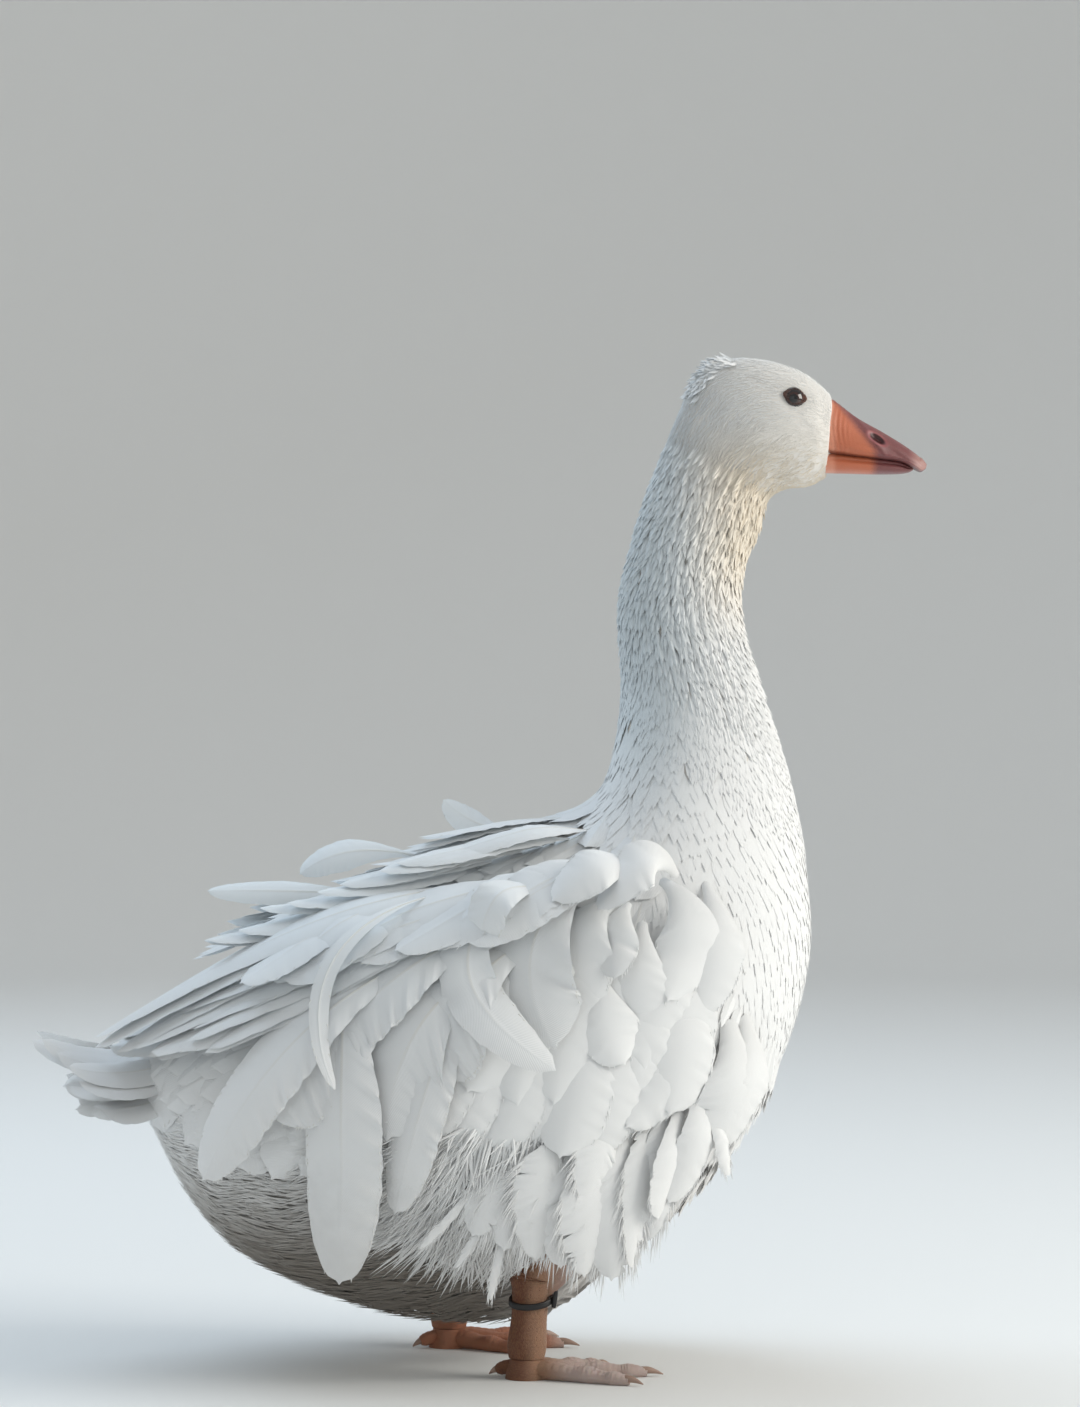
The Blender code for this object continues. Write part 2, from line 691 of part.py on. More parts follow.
def close_sheet(bm, outer, inner):
    """Joins two grids of points into one closed sheet, split alike on both faces."""
    rows, columns = len(outer), len(outer[0])
    for i in range(rows - 1):
        for j in range(columns - 1):
            for grid in (outer, inner):
                a, b, c, d = grid[i][j], grid[i + 1][j], grid[i + 1][j + 1], grid[i][j + 1]
                bm.faces.new((a, b, c))
                bm.faces.new((a, c, d))
    rim = [(i, 0) for i in range(rows)] + [(rows - 1, j) for j in range(1, columns)]
    rim += [(i, columns - 1) for i in range(rows - 2, -1, -1)] + [(0, j) for j in range(columns - 2, 0, -1)]
    for (i, j), (m, n) in zip(rim, rim[1:] + rim[:1]):
        bm.faces.new((outer[i][j], outer[m][n], inner[m][n]))
        bm.faces.new((outer[i][j], inner[m][n], inner[i][j]))


def build_tail(feathers, finish):
    """The fan of tail feathers on the stump behind the rump."""
    path = [(x, 0, z) for x, z, _, _ in TAIL_STUMP]
    tail = add_object("tail", tube(path, [row[2:] for row in TAIL_STUMP], 12), finish)
    combine(tail, [body_cutter()], "DIFFERENCE")
    dress(tail, feathers, [])
    combine(tail, [body_cutter()], "DIFFERENCE", "MANIFOLD")


def leg_tube(rows, side, ankle, sides):
    """A length of the leg of one side, through its rows of places and radii."""
    x, z = ankle[0] / MM, ankle[1] / MM
    y = side * STANCE / MM
    path = [(x + ahead, y * out, z + up) for ahead, out, up, _, _ in rows]
    return tube(path, [row[3:] for row in rows], sides)


def build_thigh(name, side, ankle, others, finish):
    """The feathered thigh, where it comes out of the body under the long feathers."""
    thigh = add_object("thigh_" + name, leg_tube(THIGH_ROWS, side, ankle, 14), finish)
    cutters = [feather.blade(VANE_GAP) for feather in others]
    combine(thigh, [body_cutter(), *cutters], "DIFFERENCE", "MANIFOLD")


def build_shank(name, side, ankle, skin):
    """The bare shank, from the thigh down to the ankle."""
    shank = add_object("shank_" + name, leg_tube(SHANK_ROWS, side, ankle, 12), skin)
    thigh_cutter = add_object("thigh_cutter", offset(leg_tube(THIGH_ROWS, side, ankle, 14), SKIN_GAP))
    combine(shank, [body_cutter(), thigh_cutter], "DIFFERENCE")


def toe(path, radii, claw):
    """One toe as a tube, with its claw."""
    return [
        add_object("toe", tube(path, [(r, r) for r in radii], 6)),
        add_object("claw", tube(claw, CLAW_RADII, 5)),
    ]


def build_foot(name, side, ankle, skin):
    """Three toes with webs between them, a hind toe and the knuckle that the shank stands on."""
    home = Vector((ankle[0] / MM, side * STANCE / MM, 0))
    heading = -side * TOE_IN

    def place(length, turn, height):
        way = heading + turn
        return home + Vector((math.cos(way) * length, math.sin(way) * length, height))

    knuckle_top = ankle[1] / MM - SHANK_BELOW - GAP / MM
    knuckle = [home + Vector((x, 0, z)) for x, z in ((-1, -3), (0, 4), (0, knuckle_top))]
    foot = add_object("foot_" + name, tube(knuckle, KNUCKLE_RADII, 12), skin)
    parts = []
    for length, turn in zip(TOE_LENGTHS, TOE_TURNS):
        turn *= -side
        path = [place(length * share, turn, z) for share, z, _ in TOE_ROWS]
        claw = [place(length * share, turn, z) for share, z in CLAW_ROWS]
        parts += toe(path, [r for _, _, r in TOE_ROWS], claw)
    back = math.pi + side * HIND_TURN
    path = [place(length, back, z) for length, z, _ in HIND_ROWS]
    claw = [place(length, back, z) for length, z in HIND_CLAW_ROWS]
    parts += toe(path, [r for _, _, r in HIND_ROWS], claw)
    for a, b in ((0, 1), (1, 2)):
        parts.append(web(place, TOE_LENGTHS[a], TOE_LENGTHS[b], -side * TOE_TURNS[a], -side * TOE_TURNS[b]))
    combine(foot, parts, "UNION")
    combine(foot, [below_floor(home)], "DIFFERENCE")


def below_floor(home):
    """A block under the floor that cuts the sole flat."""
    bm = bmesh.new()
    bmesh.ops.create_cube(bm, size=1)
    for v in bm.verts:
        v.co = home * MM + Vector((v.co.x * 0.4, v.co.y * 0.4, v.co.z * 0.04 - 0.02))
    return add_object("under", bm)


def web(place, length_a, length_b, turn_a, turn_b):
    """The skin between two toes, with a hollow front edge."""
    start, end = WEB_REACH
    outer, inner = [], []
    for i in range(WEB_STEPS + 1):
        out = start + (end - start) * i / WEB_STEPS
        up_row, low_row = [], []
        for j in range(WEB_STEPS):
            t = j / (WEB_STEPS - 1)
            hollow = 1 - WEB_HOLLOW * math.sin(math.pi * t) * i / WEB_STEPS
            length = (length_a * (1 - t) + length_b * t) * out * hollow
            height = WEB_LOW + WEB_ARCH * (1 - out) ** 2
            up_row.append(place(length, turn_a * (1 - t) + turn_b * t, height + WEB_THICK))
            low_row.append(place(length, turn_a * (1 - t) + turn_b * t, height))
        outer.append(up_row)
        inner.append(low_row)
    bm = bmesh.new()
    outer, inner = ([[bm.verts.new(p * MM) for p in row] for row in grid] for grid in (outer, inner))
    close_sheet(bm, outer, inner)
    return add_object("web", bm)


def build_band(finish):
    """The plain plastic band on the right shank, with its clasp."""
    home = Vector((RIGHT_ANKLE[0] / MM + BAND_AHEAD, -STANCE / MM, BAND_HEIGHT))
    ahead, across = BAND_REACH
    bm = bmesh.new()
    loops = []
    for k in range(BAND_STEPS):
        turn = math.tau * k / BAND_STEPS
        out = Vector((math.cos(turn), math.sin(turn), 0))
        centre = home + Vector((ahead * out.x, across * out.y, BAND_SAG * out.x))
        loops.append([bm.verts.new((centre + out * r + Vector((0, 0, h))) * MM) for r, h in BAND_SECTION])
    sides = len(BAND_SECTION)
    for a, b in zip(loops, loops[1:] + loops[:1]):
        for i in range(sides):
            j = (i + 1) % sides
            bm.faces.new((a[i], b[i], b[j], a[j]))
    bmesh.ops.triangulate(bm, faces=bm.faces)
    band = add_object("leg_band", bm, finish)
    path = [home + Vector((out, -CLASP_SIDE, up)) for out, up, _, _ in CLASP_ROWS]
    clasp = tube(path, [row[2:] for row in CLASP_ROWS], 8)
    combine(band, [add_object("clasp", clasp)], "UNION")


def centre_on_floor():
    """Moves the whole bird so that the middle of its box is over the origin."""
    parts = [o for o in bpy.context.scene.objects if o.type == "MESH"]
    spots = [v.co for o in parts for v in o.data.vertices]
    middle = [(min(p[i] for p in spots) + max(p[i] for p in spots)) / 2 for i in range(2)]
    for part in parts:
        part.location = (-middle[0], -middle[1], 0)


def main():
    for old in list(bpy.data.objects):
        bpy.data.objects.remove(old)
    feather = material("white_plumage", (0.86, 0.87, 0.88), 0.8)
    horn = material("orange_bill", (0.72, 0.25, 0.1), 0.45)
    skin = material("orange_leg_skin", (0.55, 0.2, 0.1), 0.6)
    eye_finish = material("dark_eye", (0.05, 0.03, 0.02), 0.1)
    plastic = material("black_plastic", (0.02, 0.02, 0.02), 0.4)
    plumage = Plumage()
    both = list(SIDES.values())
    on_body = [f for side in both for f in plumage.rows(BACK_FEATHERS + BELLY_FEATHERS, side)]
    on_tail = [f for side in both for f in plumage.rows(TAIL_FEATHERS, side, Vector((0, 0, 1)))]
    head = build_body(on_body, feather)
    build_eyes(head, eye_finish)
    build_bill(horn)
    build_tail(on_tail, feather)
    for name, side in SIDES.items():
        ankle = RIGHT_ANKLE if name == "right" else LEFT_ANKLE
        on_wing = plumage.rows(WING_FEATHERS + DROOPING, side)
        build_wing("wing_" + name, side, on_wing, on_body + on_tail, feather)
        build_thigh(name, side, ankle, on_body + on_wing, feather)
        build_shank(name, side, ankle, skin)
        build_foot(name, side, ankle, skin)
    build_band(plastic)
    centre_on_floor()


main()
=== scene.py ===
"""The looks of a standing Sebastopol goose: skin, plumage, bill, eyes, legs and a plain leg band.

Shapes are worked out in millimetres in the bird's own frame, where it faces +X and stands on z = 0,
and add_piece moves them to where the solids stand.
"""

import math
import random
from collections import namedtuple

import bpy
import numpy as np
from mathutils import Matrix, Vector


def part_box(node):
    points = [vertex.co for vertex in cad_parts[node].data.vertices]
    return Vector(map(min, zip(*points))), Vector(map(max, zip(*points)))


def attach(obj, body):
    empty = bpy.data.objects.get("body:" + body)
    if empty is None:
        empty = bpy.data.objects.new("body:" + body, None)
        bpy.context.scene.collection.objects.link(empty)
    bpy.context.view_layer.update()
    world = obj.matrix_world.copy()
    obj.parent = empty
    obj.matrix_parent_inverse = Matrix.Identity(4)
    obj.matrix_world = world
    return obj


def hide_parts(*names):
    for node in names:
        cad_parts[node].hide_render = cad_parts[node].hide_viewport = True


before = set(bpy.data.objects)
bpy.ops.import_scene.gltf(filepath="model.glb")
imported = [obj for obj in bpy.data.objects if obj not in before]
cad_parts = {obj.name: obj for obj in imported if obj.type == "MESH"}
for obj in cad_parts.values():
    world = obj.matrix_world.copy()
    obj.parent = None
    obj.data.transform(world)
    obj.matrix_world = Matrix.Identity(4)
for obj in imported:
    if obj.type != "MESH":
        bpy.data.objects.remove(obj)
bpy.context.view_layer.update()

MM = 0.001
SEED = 15
SIDES = {"right": -1, "left": 1}
rng = np.random.default_rng(SEED)

# Sizes in mm
EYE_PLACE = (188.9, 576.1)
EYE_RADIUS = 7.4
EYE_RING = (5.6, 4.7)
LID_REACH = (5.1, 4.4)
LID_OUT = 5.6
STANCE = 58.0
ANKLES = {"right": (31.0, 16.0), "left": (-17.0, 16.0)}
SHANK_BELOW = 4.0
TOE_LENGTHS = (56.0, 74.0, 68.0)
TOE_TURNS = (30.0, 0.0, -28.0)
TOE_IN = 4.0
SHANK_HEIGHT = 95.0
SHANK_RADIUS = 9.5
SHANK_SCALE = 2.3
BAND_HEIGHT = 46.0
BILL_FACE = 212.4
NOSTRIL_PLACE = (240.0, 553.2)
NOSTRIL_SLOPE = math.radians(35)
MOUTH_HEIGHT = 546.0
PANEL_SLOPE = 1.3
# How deep the skin lies under the coat on trunk, breast, neck and head, and where along the body it changes
SKIN_DEPTHS = (6.0, 1.2, 2.2, 0.5)
DEPTH_CHANGES = ((6.4, 9.0), (12.0, 13.5), (16.5, 18.0))
# Where down and plumes grow: flank feathers by angle and place, belly down by height, thigh plumes by x and z
FLANK_ANGLES = (1.0, 2.45)
FLANK_CORNER = (66, 165)
BELLY_TOP = 185
THIGH_X = (-36, 62)
THIGH_Z = (88, 158)
# Half of the way round the body, by side
HALVES = {-1: (-math.pi, 0), 1: (0, math.pi)}

# The photograph's view, in metres
VIEW_DISTANCE = 2.4
VIEW_HEIGHT = 0.395
VIEW_AHEAD = 0.0384
VIEW_WIDTH = 0.8442
SENSOR_MM = 36

# How far the solids stand from this frame, from where they hold the eyes
eye_corners = [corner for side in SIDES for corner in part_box("eye_" + side)]
SHIFT = np.array([
    sum(c.x for c in eye_corners) / 4 - EYE_PLACE[0] * MM,
    sum(c.y for c in eye_corners) / 4,
    0.0,
])

# Body outline: back line x and z, breast line x and z, half width; then how far the underside narrows
# to a keel (1 is oval). Rump first, face last
BODY = np.array([
    (-208.8, 169.8, -201.6, 157.8, 8, 1.0),
    (-195.6, 186.6, -189.6, 138.6, 38, 1.0),
    (-168.6, 211.6, -168.6, 99.6, 74, 1.0),
    (-135.6, 240.6, -138.6, 66.6, 98, 1.1),
    (-93.6, 272.6, -93.6, 42.6, 113, 1.6),
    (-45.6, 296.4, -39.6, 26.8, 120, 2.1),
    (-0.6, 311.8, 28.4, 25.6, 121, 2.2),
    (35.4, 322.6, 80.4, 57.6, 117, 1.8),
    (61.2, 332.2, 134.6, 108.6, 107, 1.3),
    (75.6, 346.6, 178.2, 171.6, 92, 1.0),
    (81.6, 364.6, 199.4, 237.6, 75, 1.0),
    (85.8, 387.6, 198.2, 297.6, 59, 1.0),
    (87.0, 411.6, 188.0, 351.6, 47, 1.0),
    (85.8, 435.6, 172.4, 399.6, 38.5, 1.0),
    (86.4, 459.6, 159.2, 444.6, 33, 1.0),
    (92.4, 486.6, 160.4, 475.8, 30, 1.0),
    (101.4, 516.6, 170.0, 499.8, 28.5, 1.0),
    (111.0, 541.8, 174.6, 516.6, 28, 1.0),
    (121.8, 569.4, 185.6, 523.8, 28.5, 1.0),
    (133.2, 592.4, 198.0, 525.0, 29, 1.0),
    (152.4, 601.4, 206.4, 528.6, 28.5, 1.0),
    (175.2, 600.4, 210.0, 531.0, 26, 1.0),
    (196.0, 593.4, 213.0, 532.0, 22, 1.0),
    (210.0, 582.6, 217.0, 533.0, 17.5, 1.0),
    (219.0, 573.0, 222.0, 537.0, 12, 1.0),
    (227.0, 560.0, 227.0, 548.0, 5, 1.0),
])
BODY_END = len(BODY) - 1

# Bill outlines: the upper from its culmen to its edge, the lower from its keel to its edge
UPPER_BILL = np.array([
    (204.0, 582.0, 203.0, 545.4, 13.0, 0.45),
    (213.6, 577.6, 211.9, 544.2, 14.0, 0.45),
    (228.6, 566.4, 227.4, 542.4, 13.2, 0.45),
    (242.4, 558.6, 241.8, 540.8, 11.6, 0.45),
    (254.0, 551.6, 253.4, 539.4, 10.0, 0.5),
    (262.8, 545.6, 262.2, 535.8, 8.4, 0.6),
    (267.6, 541.4, 266.4, 533.8, 6.0, 0.8),
    (270.2, 538.0, 269.6, 535.6, 2.4, 1.0),
])
LOWER_BILL = np.array([
    (202.0, 533.6, 203.0, 546.2, 11.0, 0.4),
    (211.2, 533.2, 211.8, 545.6, 12.2, 0.4),
    (226.8, 532.8, 227.4, 543.8, 11.4, 0.4),
    (241.2, 532.4, 241.8, 542.2, 9.8, 0.4),
    (252.8, 532.6, 253.4, 540.4, 7.8, 0.5),
    (259.0, 533.4, 259.6, 537.6, 5.0, 0.8),
    (262.0, 534.8, 262.4, 536.6, 1.6, 1.0),
])


def unit(v):
    """Vectors brought to length 1."""
    return v / np.maximum(np.linalg.norm(v, axis=-1, keepdims=True), 1e-9)


def ease(value, low, high):
    """Smooth step from 0 at low to 1 at high."""
    t = np.clip((value - low) / (high - low), 0, 1)
    return t * t * (3 - 2 * t)


def mound(value, middle, width, power=2):
    """Smooth bump of height 1 round a middle value."""
    return np.exp(-(((value - middle) / width) ** power))


def spline(table, s):
    """Catmull-Rom values at places s through the rows of a table."""
    table = np.asarray(table, float)
    last = len(table) - 1
    s = np.clip(np.asarray(s, float), 0, last)
    i = np.minimum(s.astype(int), last - 1)
    t = (s - i)[..., None]
    a, b, c, d = (table[np.clip(i + k, 0, last)] for k in (-1, 0, 1, 2))
    return 0.5 * (2 * b + (c - a) * t + (2 * a - 5 * b + 4 * c - d) * t**2 + (3 * b - a - 3 * c + d) * t**3)


def loft_point(table, s, angle, low=0.0, squareness=1.0):
    """Surface point of an oval loft; angle 0 is the back line and pi the front line, positive to the left."""
    bx, bz, fx, fz, width, keel = np.moveaxis(spline(table, s), -1, 0)
    cosine = np.cos(angle)
    sine = np.sin(angle)
    power = squareness * np.where(cosine < 0, keel, 1.0)
    bulge = np.sign(sine) * np.abs(sine) ** power * (1 - low * cosine)
    x = (bx + fx) / 2 + (bx - fx) / 2 * cosine
    z = (bz + fz) / 2 + (bz - fz) / 2 * cosine
    return np.stack([x, width * bulge, z], axis=-1)


def loft_axis(table, s):
    """Middle of a loft at places s, halfway from its back line to its front line."""
    return (loft_point(table, s, 0 * s) + loft_point(table, s, 0 * s + math.pi)) / 2


def furrows(s, angle):
    """Height in mm of the furrowed plumage of the neck: wavy ridges that run down from the head."""
    strength = ease(s, 11.6, 13.6) * (1 - ease(s, 16.6, 18.0))
    front = 0.55 + 0.45 * ease(np.abs(angle), 0.6, 2.2)
    wobble = 0.55 * np.sin(1.9 * s + 2.0 * np.sin(angle * 2)) + 0.35 * np.sin(4.3 * s + angle * 5)
    ridge = np.abs(np.cos(angle * 15 + wobble + np.sign(angle) * 0.9 * (s - 14)))
    broken = 0.7 + 0.3 * np.sin(7.0 * s + 9 * np.sin(angle * 7))
    return strength * front * broken * 2.3 * (ridge**0.7 - 0.6)


# Cheek, brow, eye socket and lore, all in mm: height, then middle and size along x and along z
HEAD_FORMS = (
    (2.2, 172, 20, 549, 13),
    (1.2, 190, 12, 588, 4.5),
    (-0.7, EYE_PLACE[0], 11, EYE_PLACE[1], 8),
    (-1.2, 208, 7, 566, 9),
)


def head_form(s, angle):
    """Height in mm of the forms of the head over a plain oval, which slims to meet the bill."""
    x, _, z = np.moveaxis(loft_point(BODY, s, angle), -1, 0)
    height = sum(h * mound(x, mx, wx) * mound(z, mz, wz) for h, mx, wx, mz, wz in HEAD_FORMS)
    height = height - 2.6 * ease(x, 202, 214)
    return height * np.sin(angle) ** 2 * ease(s, 17.0, 18.5)


def coat_point(s, angle, depth=0.0):
    """Point of the plumage's surface in mm, or that far under it."""
    s = np.asarray(s, float)
    angle = np.asarray(angle, float)
    p = loft_point(BODY, s, angle)
    out = unit(p - loft_axis(BODY, s))
    return p + out * (furrows(s, angle) + head_form(s, angle) - depth)[..., None]


def tangents(s, angle):
    """Change of the surface point per unit of s and of angle, and the way out."""
    ds, da = 0.03, 0.02
    along = (coat_point(s + ds, angle) - coat_point(s - ds, angle)) / (2 * ds)
    around = (coat_point(s, angle + da) - coat_point(s, angle - da)) / (2 * da)
    return along, around, unit(np.cross(along, around))


# Feather shapes: share of full width at the root, where it is full, where the tip begins, how blunt it is
SHAPES = {
    "flight": (0.1, 0.35, 0.5, 2.4),
    "round": (0.15, 0.5, 0.4, 2.2),
    "petal": (0.3, 0.5, 0.5, 3.0),
    "pointed": (0.2, 0.4, 0.2, 1.2),
    "plume": (0.25, 0.4, 0.45, 1.5),
}


def shape_at(name, t):
    """Share of a feather's full width at share t of its length."""
    start, full, tip, blunt = SHAPES[name]
    rise = start + (1 - start) * ease(t, 0, full)
    fall = np.sqrt(1 - np.clip((t - tip) / (1 - tip), 0, 1) ** blunt)
    return np.maximum(rise * fall, 0.08)


class Coat:
    """Collects the feathers of one piece and makes one mesh of them."""

    def __init__(self, name):
        self.name = name
        self.verts = []
        self.faces = []
        self.bake = []
        self.vane = []
        self.along = []
        self.count = 0

    def add(self, points, faces, patch, vane, along):
        """Adds n alike meshes: points (n, v, 3), faces (f, 3), and for each vertex its three maps."""
        n, v, _ = points.shape
        self.verts.append(points.reshape(-1, 3))
        starts = self.count + np.arange(n)[:, None, None] * v
        self.faces.append((faces[None] + starts).reshape(-1, 3))
        self.bake.append(patch.reshape(-1, 2))
        self.vane.append(vane.reshape(-1, 2))
        self.along.append(along.reshape(-1))
        self.count += n * v

    def make(self, finish, slot, *nodes):
        """The finished piece, in place."""
        verts = np.concatenate(self.verts)
        faces = np.concatenate(self.faces)
        obj = add_piece(self.name, verts, faces, finish, slot, *nodes)
        add_values(obj, along=np.concatenate(self.along))
        loops = faces.reshape(-1)
        for layer, values in (("OFBake", self.bake), ("Vane", self.vane)):
            uv = obj.data.uv_layers.new(name=layer)
            uv.data.foreach_set("uv", np.concatenate(values)[loops].astype(np.float32).ravel())


def add_piece(name, verts, faces, finish, slot=None, *nodes):
    """A piece of triangles or quads given in mm, which rides on the body and stands for CAD nodes."""
    mesh = bpy.data.meshes.new(name)
    faces = np.asarray(faces)
    places = np.asarray(verts, float) * MM + SHIFT
    mesh.vertices.add(len(places))
    mesh.vertices.foreach_set("co", places.astype(np.float32).ravel())
    mesh.loops.add(faces.size)
    mesh.loops.foreach_set("vertex_index", faces.astype(np.int32).ravel())
    mesh.polygons.add(len(faces))
    mesh.polygons.foreach_set("loop_start", np.arange(0, faces.size, faces.shape[1], dtype=np.int32))
    mesh.update(calc_edges=True)
    mesh.validate()
    mesh.shade_smooth()
    mesh.set_sharp_from_angle(angle=math.radians(60))
    mesh.materials.append(finish)
    obj = bpy.data.objects.new(name, mesh)
    bpy.context.scene.collection.objects.link(obj)
    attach(obj, "root")
    if nodes:
        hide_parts(*nodes)
    return obj


def add_values(obj, **values):
    """Keeps numbers of each point under their names, for the finishes to read."""
    for name, numbers in values.items():
        kept = obj.data.attributes.new(name, "FLOAT", "POINT")
        kept.data.foreach_set("value", numbers.astype(np.float32))


def ring_faces(rings, count):
    """Triangles of a closed blade: rings of count points between a root point and a tip point."""
    faces = []
    tip = 1 + rings * count
    for j in range(count):
        m = (j + 1) % count
        faces.append((0, 1 + m, 1 + j))
        faces.append((tip, tip - count + j, tip - count + m))
        for k in range(rings - 1):
            a, b = 1 + k * count, 1 + (k + 1) * count
            faces.append((a + j, a + m, b + m))
            faces.append((a + j, b + m, b + j))
    return np.array(faces)


def ripple(n, rings, length, period):
    """Smooth random waves from -1 to 1 along both sides of n feathers, each wave about period mm long."""
    t = np.linspace(0, 1, rings)[None, :, None]
    total = np.zeros((n, rings, 2))
    for share, pace in ((0.6, 1.0), (0.4, 1.7)):
        turns = length[:, None, None] / period * pace * rng.uniform(0.8, 1.25, (n, 1, 2))
        total += share * np.sin(math.tau * (turns * t + rng.random((n, 1, 2))))
    return total


def blades(coat, line, out, width, kind, roots, columns=1, thick=0.5, sweep=0.5, camber=0.12, tilt=0.0,
           twist=0.0, ragged=0.0, splits=0.0, folds=0.0, fold_length=8.0, barbs=0, barb_length=5.0,
           barb_start=0.5, shaft=0.7, calm=1.0):
    """Adds feathers along centre lines (n, k, 3) as closed blades with a shaft, barbs and a tapered edge.
    Columns lie on each side of the shaft, and calm is the share of the folds on the second side."""
    n, rings, _ = line.shape
    t = np.linspace(0, 1, rings)
    ahead = unit(np.gradient(line, axis=1))
    across = unit(np.cross(ahead, out))
    face = np.cross(across, ahead)
    turn = (np.reshape(tilt, (-1, 1)) + np.reshape(twist, (-1, 1)) * t[None] ** 1.5)[..., None]
    across, face = across * np.cos(turn) + face * np.sin(turn), face * np.cos(turn) - across * np.sin(turn)
    share_wide = shape_at(kind, t)[None]
    half = np.reshape(width, (-1, 1)) / 2 * share_wide
    length = np.linalg.norm(np.diff(line, axis=1), axis=2).sum(1)
    edge = np.ones((n, rings, 2))
    heave = np.zeros((n, rings, 2))
    if ragged:
        edge -= ragged * (0.5 + 0.5 * ripple(n, rings, length, 20.0))
        edge -= 0.35 * (rng.random((n, rings, 2)) < splits)
    if folds:
        heave += folds * ripple(n, rings, length, fold_length) * share_wide[..., None] * [1.0, calm]
    beside = [] if columns == 1 else [0.06]
    shares = [0.0] + beside + [(j + 1) / columns for j in range(columns)]
    forward = sweep * np.sqrt(np.clip(1 - t, 0, 1))[None]
    places = []
    vane = []
    for u in [-x for x in shares[::-1]] + shares[1:]:
        hand = 0 if u < 0 else 1
        reach = half * abs(u) * edge[..., hand] ** (abs(u) > 0.3)
        p = line + across * (np.sign(u) * reach)[..., None] + ahead * (reach * forward)[..., None]
        bend = -camber * reach * abs(u) + heave[..., hand] * abs(u) ** 1.5
        rise = shaft * thick if abs(u) < 0.01 else 0.0
        p = p + face * (bend + rise * (1 - t) ** 0.5)[..., None]
        places.append((p, abs(u)))
        vane.append(np.stack([np.sign(u) * reach, t[None] * length[:, None] + 0 * reach], axis=-1))
    top = [p for p, _ in places]
    low = [p - face * (thick * (1 - 0.8 * u) * (1 - 0.7 * t))[None, :, None] for p, u in places[1:-1]]
    rows = np.stack(top + low[::-1], axis=2)
    maps = np.stack(vane + vane[1:-1][::-1], axis=2)
    count = rows.shape[2]
    tip = line[:, -1:] + ahead[:, -1:] * (half[:, -1:] * 1.2)[..., None]
    points = np.concatenate([line[:, :1], rows.reshape(n, -1, 3), tip], axis=1)
    end_map = np.stack([0 * length, length], axis=-1)[:, None]
    vane_map = np.concatenate([0 * end_map, maps.reshape(n, -1, 2), end_map], axis=1)
    along = np.concatenate([[0], np.repeat(t, count), [1]])[None] + np.zeros((n, 1))
    patch = patch_map(roots, vane_map[..., 0] / np.reshape(width, (-1, 1)), along)
    coat.add(points, ring_faces(rings, count), patch, vane_map * MM, along)
    if barbs:
        edges = (top[0], top[-1])
        inner = (top[1], top[-2])
        loose_barbs(coat, edges, inner, ahead, face, roots, barbs, barb_length, barb_start)


def loose_barbs(coat, edges, inner, ahead, face, roots, count, reach, start):
    """Single barbs that run on past the edges and tips of feathers, the way the barbs lie."""
    n, rings, _ = ahead.shape
    row = np.arange(n)
    for _ in range(count):
        t = start + (1 - start) * rng.random(n)
        i = (t * (rings - 1)).astype(int)
        left = (rng.random(n) < 0.5)[:, None]
        edge = np.where(left, edges[0][row, i], edges[1][row, i])
        near = np.where(left, inner[0][row, i], inner[1][row, i])
        way = unit(edge - near) * (1.05 - t[:, None]) + ahead[row, i] * (0.3 + t[:, None])
        way = unit(way + rng.normal(0, 0.07, (n, 3)))
        size = (reach * rng.uniform(0.4, 1.3, n))[:, None]
        bow = face[row, i] * rng.normal(0, 0.15, (n, 1)) * size + np.array([0, 0, -0.12]) * size
        base = edge * 0.6 + near * 0.4
        barb = np.stack([base + way * size * u + bow * u * u for u in (0, 0.5, 1)], axis=1)
        strands(coat, barb, np.repeat(face[row, i][:, None], 3, axis=1), np.full(n, 0.8), roots)


def patch_map(roots, across, along):
    """Each feather's own small patch on an unwrap of the body: along the body, then round it."""
    s, angle = roots
    u = np.reshape(s, (-1, 1)) / BODY_END + np.clip(across, -0.5, 0.5) * 0.003
    v = np.reshape(angle, (-1, 1)) / math.tau + 0.5 + (along - 0.5) * 0.003
    return np.stack([np.clip(u, 0.002, 0.998), np.clip(v, 0.002, 0.998)], axis=-1)


def strands(coat, line, out, width, roots):
    """Adds fine three-sided locks along centre lines."""
    n, rings, _ = line.shape
    t = np.linspace(0, 1, rings)
    ahead = unit(np.gradient(line, axis=1))
    across = unit(np.cross(ahead, out))
    face = np.cross(across, ahead)
    half = (np.reshape(width, (-1, 1)) / 2 * (1 - 0.95 * t**1.5)[None])[..., None]
    ring = [line - across * half, line + face * half * 0.7, line + across * half]
    rows = np.stack(ring, axis=2)
    tip = line[:, -1:] + ahead[:, -1:] * half[:, -1:] * 2
    points = np.concatenate([line[:, :1], rows.reshape(n, -1, 3), tip], axis=1)
    along = np.concatenate([[0], np.repeat(t, 3), [1]])[None] + np.zeros((n, 1))
    side = np.concatenate([[0], np.tile([-0.5, 0, 0.5], rings), [0]])[None] + np.zeros((n, 1))
    length = np.linalg.norm(np.diff(line, axis=1), axis=2).sum(1)[:, None]
    vane_map = np.stack([side * np.reshape(width, (-1, 1)), along * length], axis=-1)
    coat.add(points, ring_faces(rings, 3), patch_map(roots, side, along), vane_map * MM, along)


